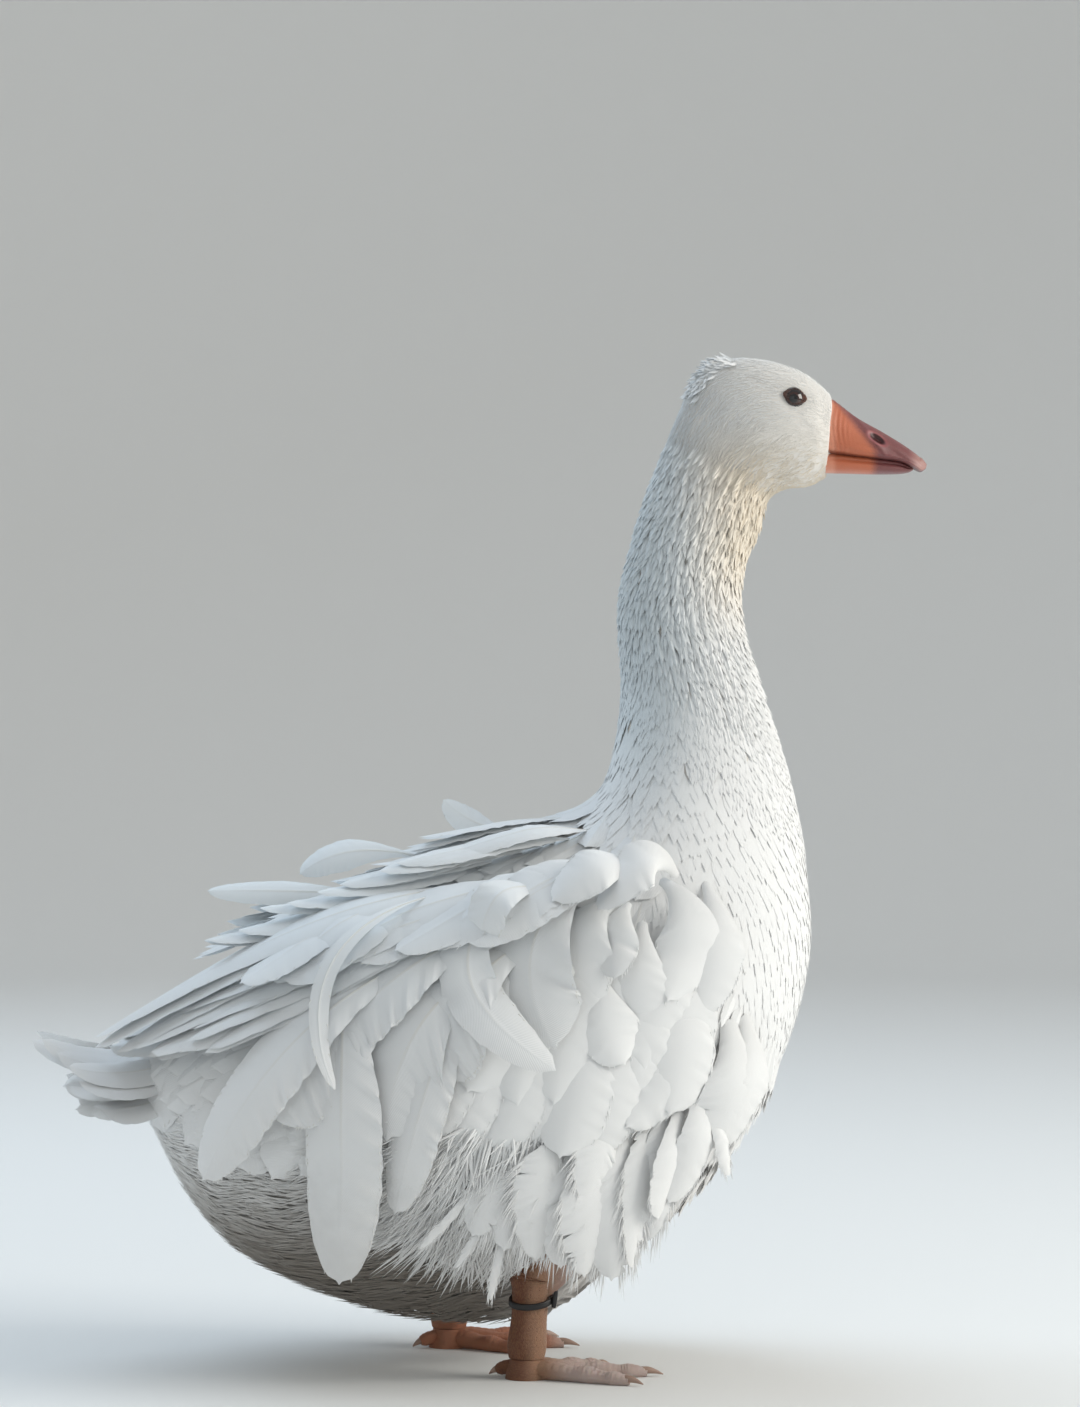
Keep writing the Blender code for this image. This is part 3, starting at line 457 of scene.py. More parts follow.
def scatter(s_range, row_gap, gap, keep=None, angles=(-math.pi, math.pi), jitter=0.35):
    """Staggered places on the body, about row_gap mm apart along it and gap mm apart round it."""
    places = []
    s = s_range[0]
    turn = np.linspace(angles[0], angles[1], 161)
    row = 0
    while s < s_range[1]:
        along, _, _ = tangents(np.full(161, s), turn)
        pace = np.linalg.norm(along, axis=1)
        ring = coat_point(np.full(161, s), turn)
        walked = np.concatenate([[0], np.cumsum(np.linalg.norm(np.diff(ring, axis=0), axis=1))])
        spots = np.arange((row % 2) * gap / 2, walked[-1], gap)
        spots = spots + rng.uniform(-jitter, jitter, len(spots)) * gap
        a = np.interp(spots, walked, turn)
        local = np.interp(a, turn, pace)
        step = row_gap / pace.max()
        kept = rng.random(len(a)) < local / pace.max()
        shift = rng.uniform(-jitter, jitter, len(a)) * step * pace.max() / local
        places.append(np.stack([np.clip(s + shift, 0.05, BODY_END - 0.3), a], axis=1)[kept])
        s += step
        row += 1
    places = np.concatenate(places)
    if keep is not None:
        spot = coat_point(places[:, 0], places[:, 1])
        places = places[keep(places[:, 0], places[:, 1], spot)]
    return places[:, 0], places[:, 1]


def lie(s, angle, fall=0.0, stray=0.0, spin=0.0):
    """Way that a feather points: towards the rump, drawn down by its weight, a little astray."""
    along, around, out = tangents(s, angle)
    way = -unit(along) + np.array([0, 0, -1.0]) * np.reshape(fall, (-1, 1))
    way = unit(way - out * (way * out).sum(-1, keepdims=True))
    side = np.cross(out, way)
    turn = (rng.normal(0, 1, len(s)) * stray + spin)[:, None]
    return unit(way * np.cos(turn) + side * np.sin(turn))


def step_over(s, angle, step, along, around):
    """Places reached by steps in mm over the body."""
    aa = (along * along).sum(-1)
    bb = (around * around).sum(-1)
    ab = (along * around).sum(-1)
    wa = (step * along).sum(-1)
    wb = (step * around).sum(-1)
    det = np.maximum(aa * bb - ab * ab, 1e-3)
    s = np.clip(s + np.clip((wa * bb - wb * ab) / det, -0.6, 0.6), 0.03, BODY_END - 0.05)
    return s, angle + np.clip((wb * aa - wa * ab) / det, -0.5, 0.5)


def laid_lines(s, angle, way, length, rings, lifts, curl=0.0):
    """Centre lines that follow the body from their roots, and the way out along them."""
    length = np.broadcast_to(length, s.shape)
    low, high = (np.broadcast_to(x, s.shape) for x in lifts)
    line = []
    outs = []
    for k in range(rings):
        t = k / (rings - 1)
        along, around, out = tangents(s, angle)
        lift = low + (high - low) * t + curl * t**3
        line.append(coat_point(s, angle) + out * lift[:, None])
        outs.append(out)
        s, angle = step_over(s, angle, way * (length / (rings - 1))[:, None], along, around)
        way = unit(way - out * (way * out).sum(-1, keepdims=True))
    return np.stack(line, axis=1), np.stack(outs, axis=1)


def cover(coat, spots, way, length, rings, lifts, width, kind, curl=0.0, **look):
    """Adds feathers that follow the body from scattered spots."""
    line, out = laid_lines(*spots, way, length, rings, lifts, curl)
    blades(coat, line, out, width, kind, spots, **look)


GRID_S, GRID_ANGLE = np.meshgrid(
    np.linspace(0.1, BODY_END - 1, 121), np.linspace(-math.pi, math.pi, 97), indexing="ij"
)
GRID = coat_point(GRID_S, GRID_ANGLE).reshape(-1, 3)


def nearest_on_body(points):
    """Places along and round the body nearest to some points."""
    index = [int(((GRID - p) ** 2).sum(1).argmin()) for p in points]
    s, angle = GRID_S.reshape(-1)[index], GRID_ANGLE.reshape(-1)[index]
    for _ in range(5):
        along, around, _ = tangents(s, angle)
        s, angle = step_over(s, angle, (points - coat_point(s, angle)) * 0.7, along, around)
    return s, angle


# Materials

def linear(code):
    """An sRGB hex colour as linear red, green, blue and alpha."""
    parts = [int(code[i : i + 2], 16) / 255 for i in (0, 2, 4)]
    return [c / 12.92 if c <= 0.04045 else ((c + 0.055) / 1.055) ** 2.4 for c in parts] + [1.0]


def node(tree, kind, inputs=None, **settings):
    """Adds a node with its settings, its inputs and the links to them; a colour may be a hex code."""
    made = tree.nodes.new("ShaderNode" + kind)
    for name, value in settings.items():
        setattr(made, name, value)
    for name, value in (inputs or {}).items():
        if isinstance(value, bpy.types.NodeSocket):
            tree.links.new(value, made.inputs[name])
        else:
            made.inputs[name].default_value = linear(value) if isinstance(value, str) else value
    return made


def new_material(name, **sockets):
    """A material with one Principled shader, whose even values are set on its sockets."""
    made = bpy.data.materials.new(name)
    made.use_nodes = True
    shader = made.node_tree.nodes["Principled BSDF"]
    for socket, value in sockets.items():
        shader.inputs[socket.replace("_", " ")].default_value = value
    return made, made.node_tree, shader


def marked(tree, colour, *layers):
    """Lays colours over a first one. A layer is a colour, its share and the spans that fade it: a value, the
    two ends of its smooth step and, where these aren't 0 and 1, the step's heights there."""
    for over, share, *spans in layers:
        for value, low, high, *heights in spans:
            start, end = heights or (0.0, 1.0)
            inputs = {"Value": value, 1: low, 2: high, 3: start, 4: end}
            step = node(tree, "MapRange", inputs, interpolation_type="SMOOTHSTEP").outputs[0]
            share = node(tree, "Math", {0: step, 1: share}, operation="MULTIPLY").outputs[0]
        colour = node(tree, "Mix", {0: share, 6: colour, 7: over}, data_type="RGBA").outputs[2]
    return colour


def finish_shader(tree, shader, colour, height, strength, distance):
    """Gives a shader its colour and a fine relief, whose greatest height is in metres."""
    relief = node(tree, "Bump", {"Strength": strength, "Distance": distance, "Height": height})
    tree.links.new(colour, shader.inputs["Base Color"])
    tree.links.new(relief.outputs[0], shader.inputs["Normal"])


def place_of(tree):
    """Where a point lies in the bird's own frame, in metres: x, y and z."""
    where = node(tree, "NewGeometry").outputs["Position"]
    moved = node(tree, "VectorMath", {0: where, 1: SHIFT}, operation="SUBTRACT").outputs[0]
    return node(tree, "SeparateXYZ", {0: moved}).outputs


def side_offset(tree, x, z, place):
    """How far a point lies from a place given in mm, seen from the side."""
    flat = node(tree, "CombineXYZ", {0: x, 2: z}).outputs[0]
    centre = (place[0] * MM, 0, place[1] * MM)
    return node(tree, "VectorMath", {0: flat, 1: centre}, operation="SUBTRACT").outputs[0]


def plumage_colour(tree, dust_and_shade):
    """White plumage, creamy on the throat, with painted sky light cool on the back, painted shade on the
    nape, and dust and painted shade below.
    """
    x, _, z = place_of(tree)
    # Dust and painted shade below: this noise wobbles their edges
    dust_and_shade_noise = node(tree, "TexNoise", {"Scale": 26.0, "Detail": 3.0}).outputs["Fac"]
    cloudy = node(tree, "Math", {0: dust_and_shade_noise, 1: 0.05, 2: z}, operation="MULTIPLY_ADD").outputs[0]
    # Painted sky light: the upper back and rump are tinted cool blue
    back = ("DCE9F1", 0.55, (x, 0.12, -0.14), (z, 0.16, 0.30))
    # Painted shade: the back of the neck is tinted grey-blue
    nape = ("C6D2D8", 0.75, (x, 0.150, 0.095), (z, 0.30, 0.40))
    throat = ("EBDFCC", 1.0, (z, 0.42, 0.49), (x, 0.112, 0.165), (z, 0.568, 0.530))
    # Painted shade: the lower flanks turn warm grey towards the bottom
    flank = ("C9C4BD", 0.35 * dust_and_shade, (cloudy, 0.20, 0.10))
    # Dust and painted shade: the belly turns grey-brown, darkest low down and towards the rump
    belly = ("8B837A", dust_and_shade, (cloudy, 0.165, 0.080), (x, 0.055, 0.0, 0.1, 1.0))
    return marked(tree, "F1F1F0", back, nape, throat, flank, belly)


def feather_vane():
    """Feather, grown: keratin barbs hooked into a soft vane. Matt and white, with fine slanted lines and a
    smoother, slightly yellow shaft."""
    made, tree, shader = new_material(
        "feather_vane", Roughness=0.62, IOR=1.55, Sheen_Weight=0.15, Sheen_Roughness=0.5,
        Subsurface_Weight=0.12, Subsurface_Scale=0.004, Subsurface_Radius=(1.0, 0.9, 0.8),
    )
    vane = node(tree, "UVMap", uv_map="Vane").outputs[0]
    across, down_it, _ = node(tree, "SeparateXYZ", {0: vane}).outputs
    reach = node(tree, "Math", {0: across}, operation="ABSOLUTE").outputs[0]
    slant = node(tree, "Math", {0: reach, 1: -1.1, 2: down_it}, operation="MULTIPLY_ADD").outputs[0]
    # Barbs lie about 0.5 mm apart; they are drawn 1.6 mm apart so that they show
    turns = node(tree, "Math", {0: slant, 1: math.tau / 0.0016}, operation="MULTIPLY").outputs[0]
    barbs = node(tree, "Math", {0: turns}, operation="SINE").outputs[0]
    loose = node(tree, "TexNoise", {"Vector": vane, "Scale": 140.0, "Detail": 2.0}).outputs["Fac"]
    height = node(tree, "Math", {0: barbs, 1: 0.35, 2: loose}, operation="MULTIPLY_ADD").outputs[0]
    along = node(tree, "Attribute", attribute_name="along").outputs["Fac"]
    shaft = ("DAD3C2", 0.3, (reach, 0.0011, 0.0005), (along, 0.95, 0.2))
    colour = marked(tree, plumage_colour(tree, 0.2), shaft)
    finish_shader(tree, shader, colour, height, 0.2, 0.0005)
    return made


# The second argument is how much dust and painted shade darken the underside
def down(name, dust_and_shade):
    """Down and body feathers, grown: loose barbs with no hooks, so the surface is dull and soft."""
    made, tree, shader = new_material(
        name, Roughness=0.85, IOR=1.55, Sheen_Weight=0.25, Sheen_Roughness=0.6,
    )
    along = node(tree, "Attribute", attribute_name="along").outputs["Fac"]
    # Painted shade: each feather greys towards its root, where the feathers overlap
    colour = marked(tree, plumage_colour(tree, dust_and_shade), ("BDBBB6", 0.22, (along, 0.5, 0.0)))
    fine = node(tree, "TexNoise", {"Scale": 900.0, "Detail": 2.0}).outputs["Fac"]
    finish_shader(tree, shader, colour, fine, 0.25, 0.0005)
    return made


def bill_horn():
    """Bill sheath, grown: thin keratin over bone. Satin and orange at the base, pinkish brown at the tip,
    over the culmen, with a paler nail; painted shade along the mouth edges and in the nostrils, painted
    highlight by the face."""
    made, tree, shader = new_material(
        "bill_horn", Roughness=0.40, IOR=1.54, Coat_Weight=0.15, Coat_Roughness=0.3,
        Subsurface_Weight=0.1, Subsurface_Scale=0.002,
    )
    x, _, z = place_of(tree)
    noise = node(tree, "TexNoise", {"Scale": 130.0, "Detail": 4.0}).outputs["Fac"]
    sway = node(tree, "Math", {0: noise, 1: 0.5}, operation="SUBTRACT").outputs[0]
    length = node(tree, "Math", {0: sway, 1: 0.006, 2: x}, operation="MULTIPLY_ADD").outputs[0]
    height = node(tree, "Math", {0: sway, 1: 0.004, 2: z}, operation="MULTIPLY_ADD").outputs[0]
    height = node(tree, "Math", {0: height, 1: MOUTH_HEIGHT * MM}, operation="MAXIMUM").outputs[0]
    # The orange side panel ends on a line that falls forward from the culmen, and at the lip's middle
    panel = node(tree, "Math", {0: length, 1: PANEL_SLOPE, 2: height}, operation="MULTIPLY_ADD").outputs[0]
    turn = node(tree, "Attribute", attribute_name="round_share").outputs["Fac"]
    near = side_offset(tree, x, z, NOSTRIL_PLACE)
    near = node(
        tree, "VectorRotate", {"Vector": near, "Angle": NOSTRIL_SLOPE, "Axis": (0, -1, 0)},
        rotation_type="AXIS_ANGLE",
    ).outputs[0]
    near = node(tree, "VectorMath", {0: near, 1: (1.0, 1.0, 2.3)}, operation="MULTIPLY").outputs[0]
    far = node(tree, "VectorMath", {0: near}, operation="LENGTH").outputs["Value"]
    mauve = marked(tree, "8C5150", ("6E3B3B", 1.0, (noise, 0.35, 0.65)))
    colour = marked(
        tree, "CC7551",
        ("BE6646", 1.0, (noise, 0.3, 0.7)),
        # Painted highlight: a pale salmon band on the bill next to the face
        ("DB8F72", 1.0, (length, 0.2165, 0.2125)),
        (mauve, 1.0, (panel, 0.851, 0.860)),
        ("874A40", 0.75, (turn, 0.20, 0.06), (z, 0.545, 0.550)),
        ("A87B74", 1.0, (length, 0.258, 0.266)),
        # Painted shade: the edges along the mouth line are darkened to near black
        ("3E1F20", 0.7, (turn, 0.80, 0.90)),
        ("B5696A", 0.6, (far, 0.0090, 0.0060)),
        # Painted shade: the nostril hollow is darkened to near black
        ("431212", 1.0, (far, 0.0064, 0.0042)),
    )
    grain = node(tree, "TexNoise", {"Scale": 700.0, "Detail": 3.0}).outputs["Fac"]
    finish_shader(tree, shader, colour, grain, 0.3, 0.0003)
    return made


def scaly_skin():
    """Leg skin, grown: small keratin scales, paler on the toes. Painted shade makes the near leg a dull
    orange-brown beside the lighter far leg, and painted highlights pale the scale tops on its front.
    """
    made, tree, shader = new_material(
        "scaly_skin", Roughness=0.55, IOR=1.54, Subsurface_Weight=0.1, Subsurface_Scale=0.002,
    )
    x, y, _ = place_of(tree)
    # Scales on a goose's shank are 1.5 to 2.5 mm across
    cells = node(tree, "TexVoronoi", {"Scale": 480.0}, feature="DISTANCE_TO_EDGE").outputs["Distance"]
    cracks = node(
        tree, "MapRange", {"Value": cells, 1: 0.16, 2: 0.02, 3: 0.0, 4: 0.4}, interpolation_type="SMOOTHSTEP"
    ).outputs[0]
    between = node(tree, "Attribute", attribute_name="groove").outputs["Fac"]
    groove = node(tree, "Math", {0: cracks, 1: between}, operation="MAXIMUM").outputs[0]
    groove = node(tree, "Math", {0: groove, 1: 0.8}, operation="MULTIPLY").outputs[0]
    noise = node(tree, "TexNoise", {"Scale": 60.0, "Detail": 4.0}).outputs["Fac"]
    colour = marked(
        tree, "A3704F",
        ("85553E", 1.0, (noise, 0.35, 0.65)),
        # Painted highlight: the scale tops on the front of the near shank are lighter
        ("CFA383", 0.7, (between, 0.6, 0.1), (x, 0.027, 0.037)),
        # Painted light and shade: the far leg is a lighter orange, the near leg keeps a darker shaded brown
        ("D48E6C", 1.0, (y, -0.01, 0.01)),
        ("EED6CC", 1.0, (x, 0.038, 0.060)),
        ("57342A", groove),
    )
    raised = node(
        tree, "MapRange", {"Value": cells, 1: 0.0, 2: 0.25}, interpolation_type="SMOOTHSTEP"
    ).outputs[0]
    finish_shader(tree, shader, colour, raised, 0.7, 0.0005)
    return made


def plain(name, first, second, **sockets):
    """A material of one colour with fine mottling in a second one."""
    made, tree, shader = new_material(name, **sockets)
    noise = node(tree, "TexNoise", {"Scale": 300.0, "Detail": 3.0}).outputs["Fac"]
    tree.links.new(marked(tree, first, (second, 0.4, (noise, 0.3, 0.8))), shader.inputs["Base Color"])
    return made


def iris():
    """Eye, grown: a wet clear front over a hazel-brown iris and a black pupil."""
    made, tree, shader = new_material(
        "iris", Roughness=0.04, IOR=1.38, Coat_Weight=1.0, Coat_Roughness=0.02,
    )
    x, _, z = place_of(tree)
    away = side_offset(tree, x, z, EYE_PLACE)
    reach = node(tree, "VectorMath", {0: away}, operation="LENGTH").outputs["Value"]
    hazel = ("35190F", 1.0, (reach, 0.0023, 0.0027))
    rim = ("140A07", 1.0, (reach, 0.0036, 0.0044))
    tree.links.new(marked(tree, "040303", hazel, rim), shader.inputs["Base Color"])
    return made


def lid_skin():
    """Lid skin, grown: thin and bare. Dull dark brown outside, with a pinkish rim at the front and below."""
    made, tree, shader = new_material("lid_skin", Roughness=0.45, IOR=1.45, Subsurface_Weight=0.15)
    turn = node(tree, "Attribute", attribute_name="length_share").outputs["Fac"]
    inner = node(tree, "Attribute", attribute_name="round_share").outputs["Fac"]
    turn = node(tree, "Math", {0: turn, 1: math.tau, 2: 0.5}, operation="MULTIPLY_ADD").outputs[0]
    front = node(tree, "Math", {0: turn}, operation="COSINE").outputs[0]
    rim = ("A56B5B", 1.0, (front, 0.0, 0.8, 0.15, 0.85), (inner, 0.5, 0.85))
    tree.links.new(marked(tree, "43302C", rim), shader.inputs["Base Color"])
    return made


VANE = feather_vane()
DOWN = down("down", 1.0)
PLUMES = down("loose_plumes", 0.05)
HORN = bill_horn()
SCALES = scaly_skin()
IRIS = iris()
LID = lid_skin()
# Claw, grown: worn keratin, so it is satin and greyish pink with darker streaks
CLAW = plain("claw_horn", "A98C7C", "6E564A", Roughness=0.45, IOR=1.54)
# Leg band, moulded in polypropylene: even and near black, with the soft shine of a plain mould
BAND = plain("polypropylene_moulded", "1B1A1A", "2A2827", Roughness=0.45, IOR=1.49)
# Skin under the feathers, grown: pale and dull, so that a gap in the coat shows no dark spot
SKIN = plain("goose_skin", "E6E2DC", "D8D2CA", Roughness=0.8, IOR=1.4)


# Skin

def grid_faces(rows, columns, wrap=True):
    """Quads of a grid of points, closed round its columns if wrap is true."""
    across = columns if wrap else columns - 1
    i, j = np.meshgrid(np.arange(rows - 1), np.arange(across), indexing="ij")
    m = (j + 1) % columns
    near = i * columns
    far = near + columns
    return np.stack([near + j, near + m, far + m, far + j], axis=-1).reshape(-1, 4)


def halved(quads):
    """Two triangles for each quad."""
    return np.concatenate([quads[:, [0, 1, 2]], quads[:, [0, 2, 3]]])


def round_grid(rows, columns, ring=False):
    """Share along and angle round, for the points of a surface; on a ring the last row would be the first."""
    share = np.linspace(0, 1, rows + ring)[:rows, None] + np.zeros((1, columns))
    angle = np.linspace(-math.pi, math.pi, columns + 1)[None, :-1] + np.zeros((rows, 1))
    return share, angle


def capped(grid):
    """Points and triangles of a closed surface from rows of points round it and a point for each end."""
    rows, columns, _ = grid.shape
    points = grid.reshape(-1, 3)
    ends = np.stack([grid[0].mean(0), grid[-1].mean(0)])
    n = len(points)
    j = np.arange(columns)
    m = (j + 1) % columns
    first = np.stack([m, j, np.full(columns, n)], axis=-1)
    last = np.stack([n - columns + j, n - columns + m, np.full(columns, n + 1)], axis=-1)
    return np.concatenate([points, ends]), np.concatenate([halved(grid_faces(rows, columns)), first, last])


def joined(meshes):
    """Points and triangles of several meshes as one."""
    starts = np.cumsum([0] + [len(points) for points, _ in meshes])
    faces = [tris + start for (_, tris), start in zip(meshes, starts)]
    return np.concatenate([points for points, _ in meshes]), np.concatenate(faces)


def bill_line(z):
    """Where along x the plumage of the face meets the bill at height z."""
    return BILL_FACE + (z - 556) * 0.06


def build_skin():
    """One skin under the whole plumage, from the rump to the bill."""
    share, angle = round_grid(360, 132)
    s = share * 23.9
    depth = np.full(s.shape, SKIN_DEPTHS[0])
    for before, after, span in zip(SKIN_DEPTHS, SKIN_DEPTHS[1:], DEPTH_CHANGES):
        depth += (after - before) * ease(s, *span)
    surface = coat_point(s, angle)
    face = bill_line(surface[..., 2])
    depth += 6.0 * ease(surface[..., 0], face - 2.0, face + 1.0)
    nodes = ("torso", "neck", "head", "thigh_right", "thigh_left")
    add_piece("skin", *capped(coat_point(s, angle, depth)), SKIN, "white_plumage", *nodes)


# Plumage of the head and neck

def near_eye(p, grow):
    """True where a point on the side of the head lies within the bare ring round the eye."""
    ahead = (p[:, 0] - EYE_PLACE[0]) / (EYE_RING[0] + grow)
    above = (p[:, 2] - EYE_PLACE[1]) / (EYE_RING[1] + grow)
    return (ahead**2 + above**2 < 1) & (np.abs(p[:, 1]) > 8)


def drift(p, size):
    """Smooth wandering from -1 to 1 over places in mm, so that neighbours lean together in clumps."""
    x, y, z = (p / size).T
    return (np.sin(x + 1.3 * np.sin(z * 0.9 + y)) + np.sin(z * 1.4 + 1.7 * np.sin(x * 0.8 - y))) / 2


def build_head_coat():
    """Short, close feathers of the head, smallest on the face, with a tuft at the back of the crown."""
    coat = Coat("head_feathers")

    def feathered(s, angle, p):
        return (p[:, 0] < bill_line(p[:, 2]) - 0.4) & ~near_eye(p, 0.6)

    s, angle = scatter((16.8, 23.9), 1.8, 1.35, feathered)
    p = coat_point(s, angle)
    fore = ease(p[:, 0], 150, 205)
    length = 6.6 - 3.6 * fore
    width = 2.3 - 1.0 * fore
    way = lie(s, angle, 0.0, 0.10, 0.30 * drift(p, 3.2))
    tips = 0.25 + 0.45 * rng.random(len(s))
    cover(coat, (s, angle), way, length, 2, (-0.5, tips), width, "pointed", thick=0.25, camber=0.3)
    # Crest: where along the head, gaps, reach round it, length, width and how far the tips stand up
    for span, gaps, reach, length, width, stand in (
        ((19.45, 20.10), (2.2, 2.2), 0.50, 7.0, 3.4, 4.6),
        ((18.60, 19.45), (2.8, 2.6), 0.60, 6.0, 2.8, 3.2),
    ):
        s, angle = scatter(span, *gaps, lambda s, a, p: np.abs(a) < reach)
        rise = rng.random(len(s))
        way = lie(s, angle, 0.0, 0.5)
        cover(
            coat, (s, angle), way, length + 2 * rise, 5, (-0.5, stand * (0.3 + 0.7 * rise)), width, "pointed",
            curl=1.2 * rise, thick=0.3, camber=0.5, twist=rng.normal(0, 0.5, len(s)),
        )
    coat.make(DOWN, "white_plumage")


def build_neck_coat():
    """Pointed feathers of the neck, gathered into ridges, then smooth rounded ones lower down."""
    coat = Coat("neck_feathers")
    s, angle = scatter((11.4, 17.6), 4.2, 2.9)
    n = len(s)
    way = lie(s, angle, 0.0, 0.08, 0.22 * drift(coat_point(s, angle), 6.0))
    grow = ease(s, 13.4, 11.6)
    cover(
        coat, (s, angle), way, 10 + 3 * rng.random(n) + 6 * grow, 3, (-1.4, 0.2 + 0.3 * rng.random(n)),
        4.1 + 3 * grow, "pointed", thick=0.22, camber=0.35,
    )
    s, angle = scatter((12.2, 17.7), 6.2, 3.3, jitter=0.25)
    n = len(s)
    way = lie(s, angle, 0.0, 0.05, 0.20 * drift(coat_point(s, angle), 9.0))
    tips = (0.8 + 0.7 * rng.random(n)) * ease(s, 11.8, 13.6)
    cover(
        coat, (s, angle), way, 11 + 3 * rng.random(n), 4, (-0.9, tips), 3.7, "pointed", curl=0.3,
        thick=0.45, camber=0.55,
    )
    coat.make(DOWN, "white_plumage")
    coat = Coat("breast_feathers")
    s, angle = scatter((6.4, 12.4), 7.2, 6.0, lambda s, a, p: (s > 9.0) | (np.abs(a) > 1.5))
    n = len(s)
    grow = 1 - ease(s, 9.5, 12.2)
    way = lie(s, angle, 0.15, 0.04, 0.16 * drift(coat_point(s, angle), 24.0))
    cover(
        coat, (s, angle), way, 19 + 9 * grow, 4, (-1.0, 0.08 + 0.16 * rng.random(n)), 8.0 + 4.5 * grow,
        "pointed", thick=0.08, camber=0.05,
    )
    s, angle = scatter((7.9, 9.3), 9.0, 7.0, lambda s, a, p: (np.abs(a) > 1.75) & (p[:, 0] > 118))
    n = len(s)
    way = lie(s, angle, 0.5, 0.16, 0.25 * drift(coat_point(s, angle), 14.0))
    cover(
        coat, (s, angle), way, 24 + 10 * rng.random(n), 7, (-1.0, 1.5 + 3.5 * rng.random(n)), 8.5, "plume",
        curl=1.0, columns=2, thick=0.2, camber=0.25, ragged=0.1,
        twist=rng.normal(0, 0.3, n), barbs=5, barb_length=4.0,
    )
    coat.make(DOWN, "white_plumage")


# Plumage of the trunk

def build_trunk_coat():
    """Broad soft feathers over the back and flanks, and hair-like down on the belly and thighs."""

    def on_flank(s, angle, p):
        above, below = FLANK_ANGLES
        beside = (np.abs(angle) > above) & (np.abs(angle) < below)
        return beside & ((p[:, 0] > FLANK_CORNER[0]) | (p[:, 2] > FLANK_CORNER[1]))

    def on_belly(s, angle, p):
        return (np.abs(angle) > 1.55) & (p[:, 2] < BELLY_TOP)

    def on_thigh(s, angle, p):
        beside = (p[:, 0] > THIGH_X[0]) & (p[:, 0] < THIGH_X[1])
        return beside & (p[:, 2] > THIGH_Z[0]) & (p[:, 2] < THIGH_Z[1])

    for name, side in SIDES.items():
        coat = Coat("flank_feathers_" + name)
        s, angle = scatter((2.2, 9.4), 17, 15, on_flank, HALVES[side])
        n = len(s)
        low = ease(np.abs(angle), 1.2, 2.2)
        way = lie(s, angle, 0.5 + 1.0 * low, 0.12, 0.35 * drift(coat_point(s, angle), 38.0))
        cover(
            coat, (s, angle), way, 56 + 12 * rng.random(n), 9, (-3.0, 1 + 1.5 * rng.random(n)),
            38 + 8 * rng.random(n), "petal", curl=0.5, columns=3, thick=0.5, camber=0.3,
            twist=rng.normal(0, 0.15, n), ragged=0.05, folds=0.35, fold_length=16.0, barbs=4, barb_length=3.5,
        )
        coat.make(VANE, "white_plumage")
    coat = Coat("back_feathers")
    s, angle = scatter((0.6, 9.6), 15, 12, lambda s, a, p: np.abs(a) < 1.15)
    n = len(s)
    way = lie(s, angle, 0.1, 0.1, 0.2 * drift(coat_point(s, angle), 30.0))
    cover(
        coat, (s, angle), way, 44 + 10 * rng.random(n), 9, (-2.0, 2 + 2 * rng.random(n)),
        27 + 5 * rng.random(n), "round", columns=2, thick=0.5, camber=0.25,
        twist=rng.normal(0, 0.12, n), ragged=0.05, folds=0.35, fold_length=14.0,
    )
    coat.make(VANE, "white_plumage")
    coat = Coat("belly_down")
    s, angle = scatter((0.4, 7.6), 5.2, 2.7, on_belly)
    n = len(s)
    p = coat_point(s, angle)
    way = lie(s, angle, 0.12, 0.14, 0.45 * drift(p, 7.0))
    line, out = laid_lines(s, angle, way, 21 + 12 * rng.random(n), 3, (-3.0, 0.8 + 1.8 * rng.random(n)))
    strands(coat, line, out, 1.9, (s, angle))
    coat.make(DOWN, "white_plumage")
    coat = Coat("thigh_plumes")
    for side in SIDES.values():
        s, angle = scatter((3.4, 7.8), 9.0, 8.0, on_thigh, HALVES[side])
        # Each tuft is a fan of loose barbs from one root
        barbs = 29
        spin = np.repeat(rng.normal(0, 0.30, len(s)), barbs)
        s = np.repeat(s, barbs) + rng.normal(0, 0.05, len(s) * barbs)
        angle = np.repeat(angle, barbs) + rng.normal(0, 0.025, len(s))
        n = len(s)
        p = coat_point(s, angle)
        way = lie(s, angle, 0.7 + 3.0 * ease(p[:, 0], -30, 30), 0.17, spin)
        lift = 3.5 + 10.0 * rng.random(n)
        line, out = laid_lines(s, angle, way, 22 + 36 * rng.random(n) ** 2, 4, (-1.0, lift), 1.0)
        strands(coat, line, out, 1.7 + 1.6 * rng.random(n) ** 3, (s, angle))
    coat.make(PLUMES, "white_plumage")


# Rows of long feathers on one side, in mm: lines that roots, middles and tips follow, as x, distance from
# the middle plane and z; how many; width; lift above the body at root and tip; curl of the tip; twist
Row = namedtuple("Row", "roots middles tips count width lifts curl twist")


def one(root, middle, tip, width, lifts, curl=0.0, twist=0.0):
    """A single listed feather."""
    return Row([root], [middle], [tip], 1, width, lifts, curl, twist)


DROOPING = [
    one((-30, 112, 256), (-104, 124, 200), (-153, 122, 125), 48, (9, 20), 0, 0.12),
    one((-12, 106, 268), (-76, 118, 212), (-116, 120, 160), 54, (8, 15), 0, -0.1),
    one((-76, 106, 250), (-74, 128, 170), (-76, 122, 66), 48, (8, 20), 0, 0.15),
    one((4, 118, 246), (-34, 128, 205), (-48, 126, 150), 62, (6, 12)),
    one((-2, 116, 236), (-24, 130, 182), (-44, 124, 106), 30, (8, 17), 0, 0.25),
    one((26, 116, 262), (-6, 126, 228), (-28, 128, 186), 54, (6, 13)),
    one((14, 110, 276), (-42, 118, 240), (-88, 120, 196), 48, (4, 9)),
]
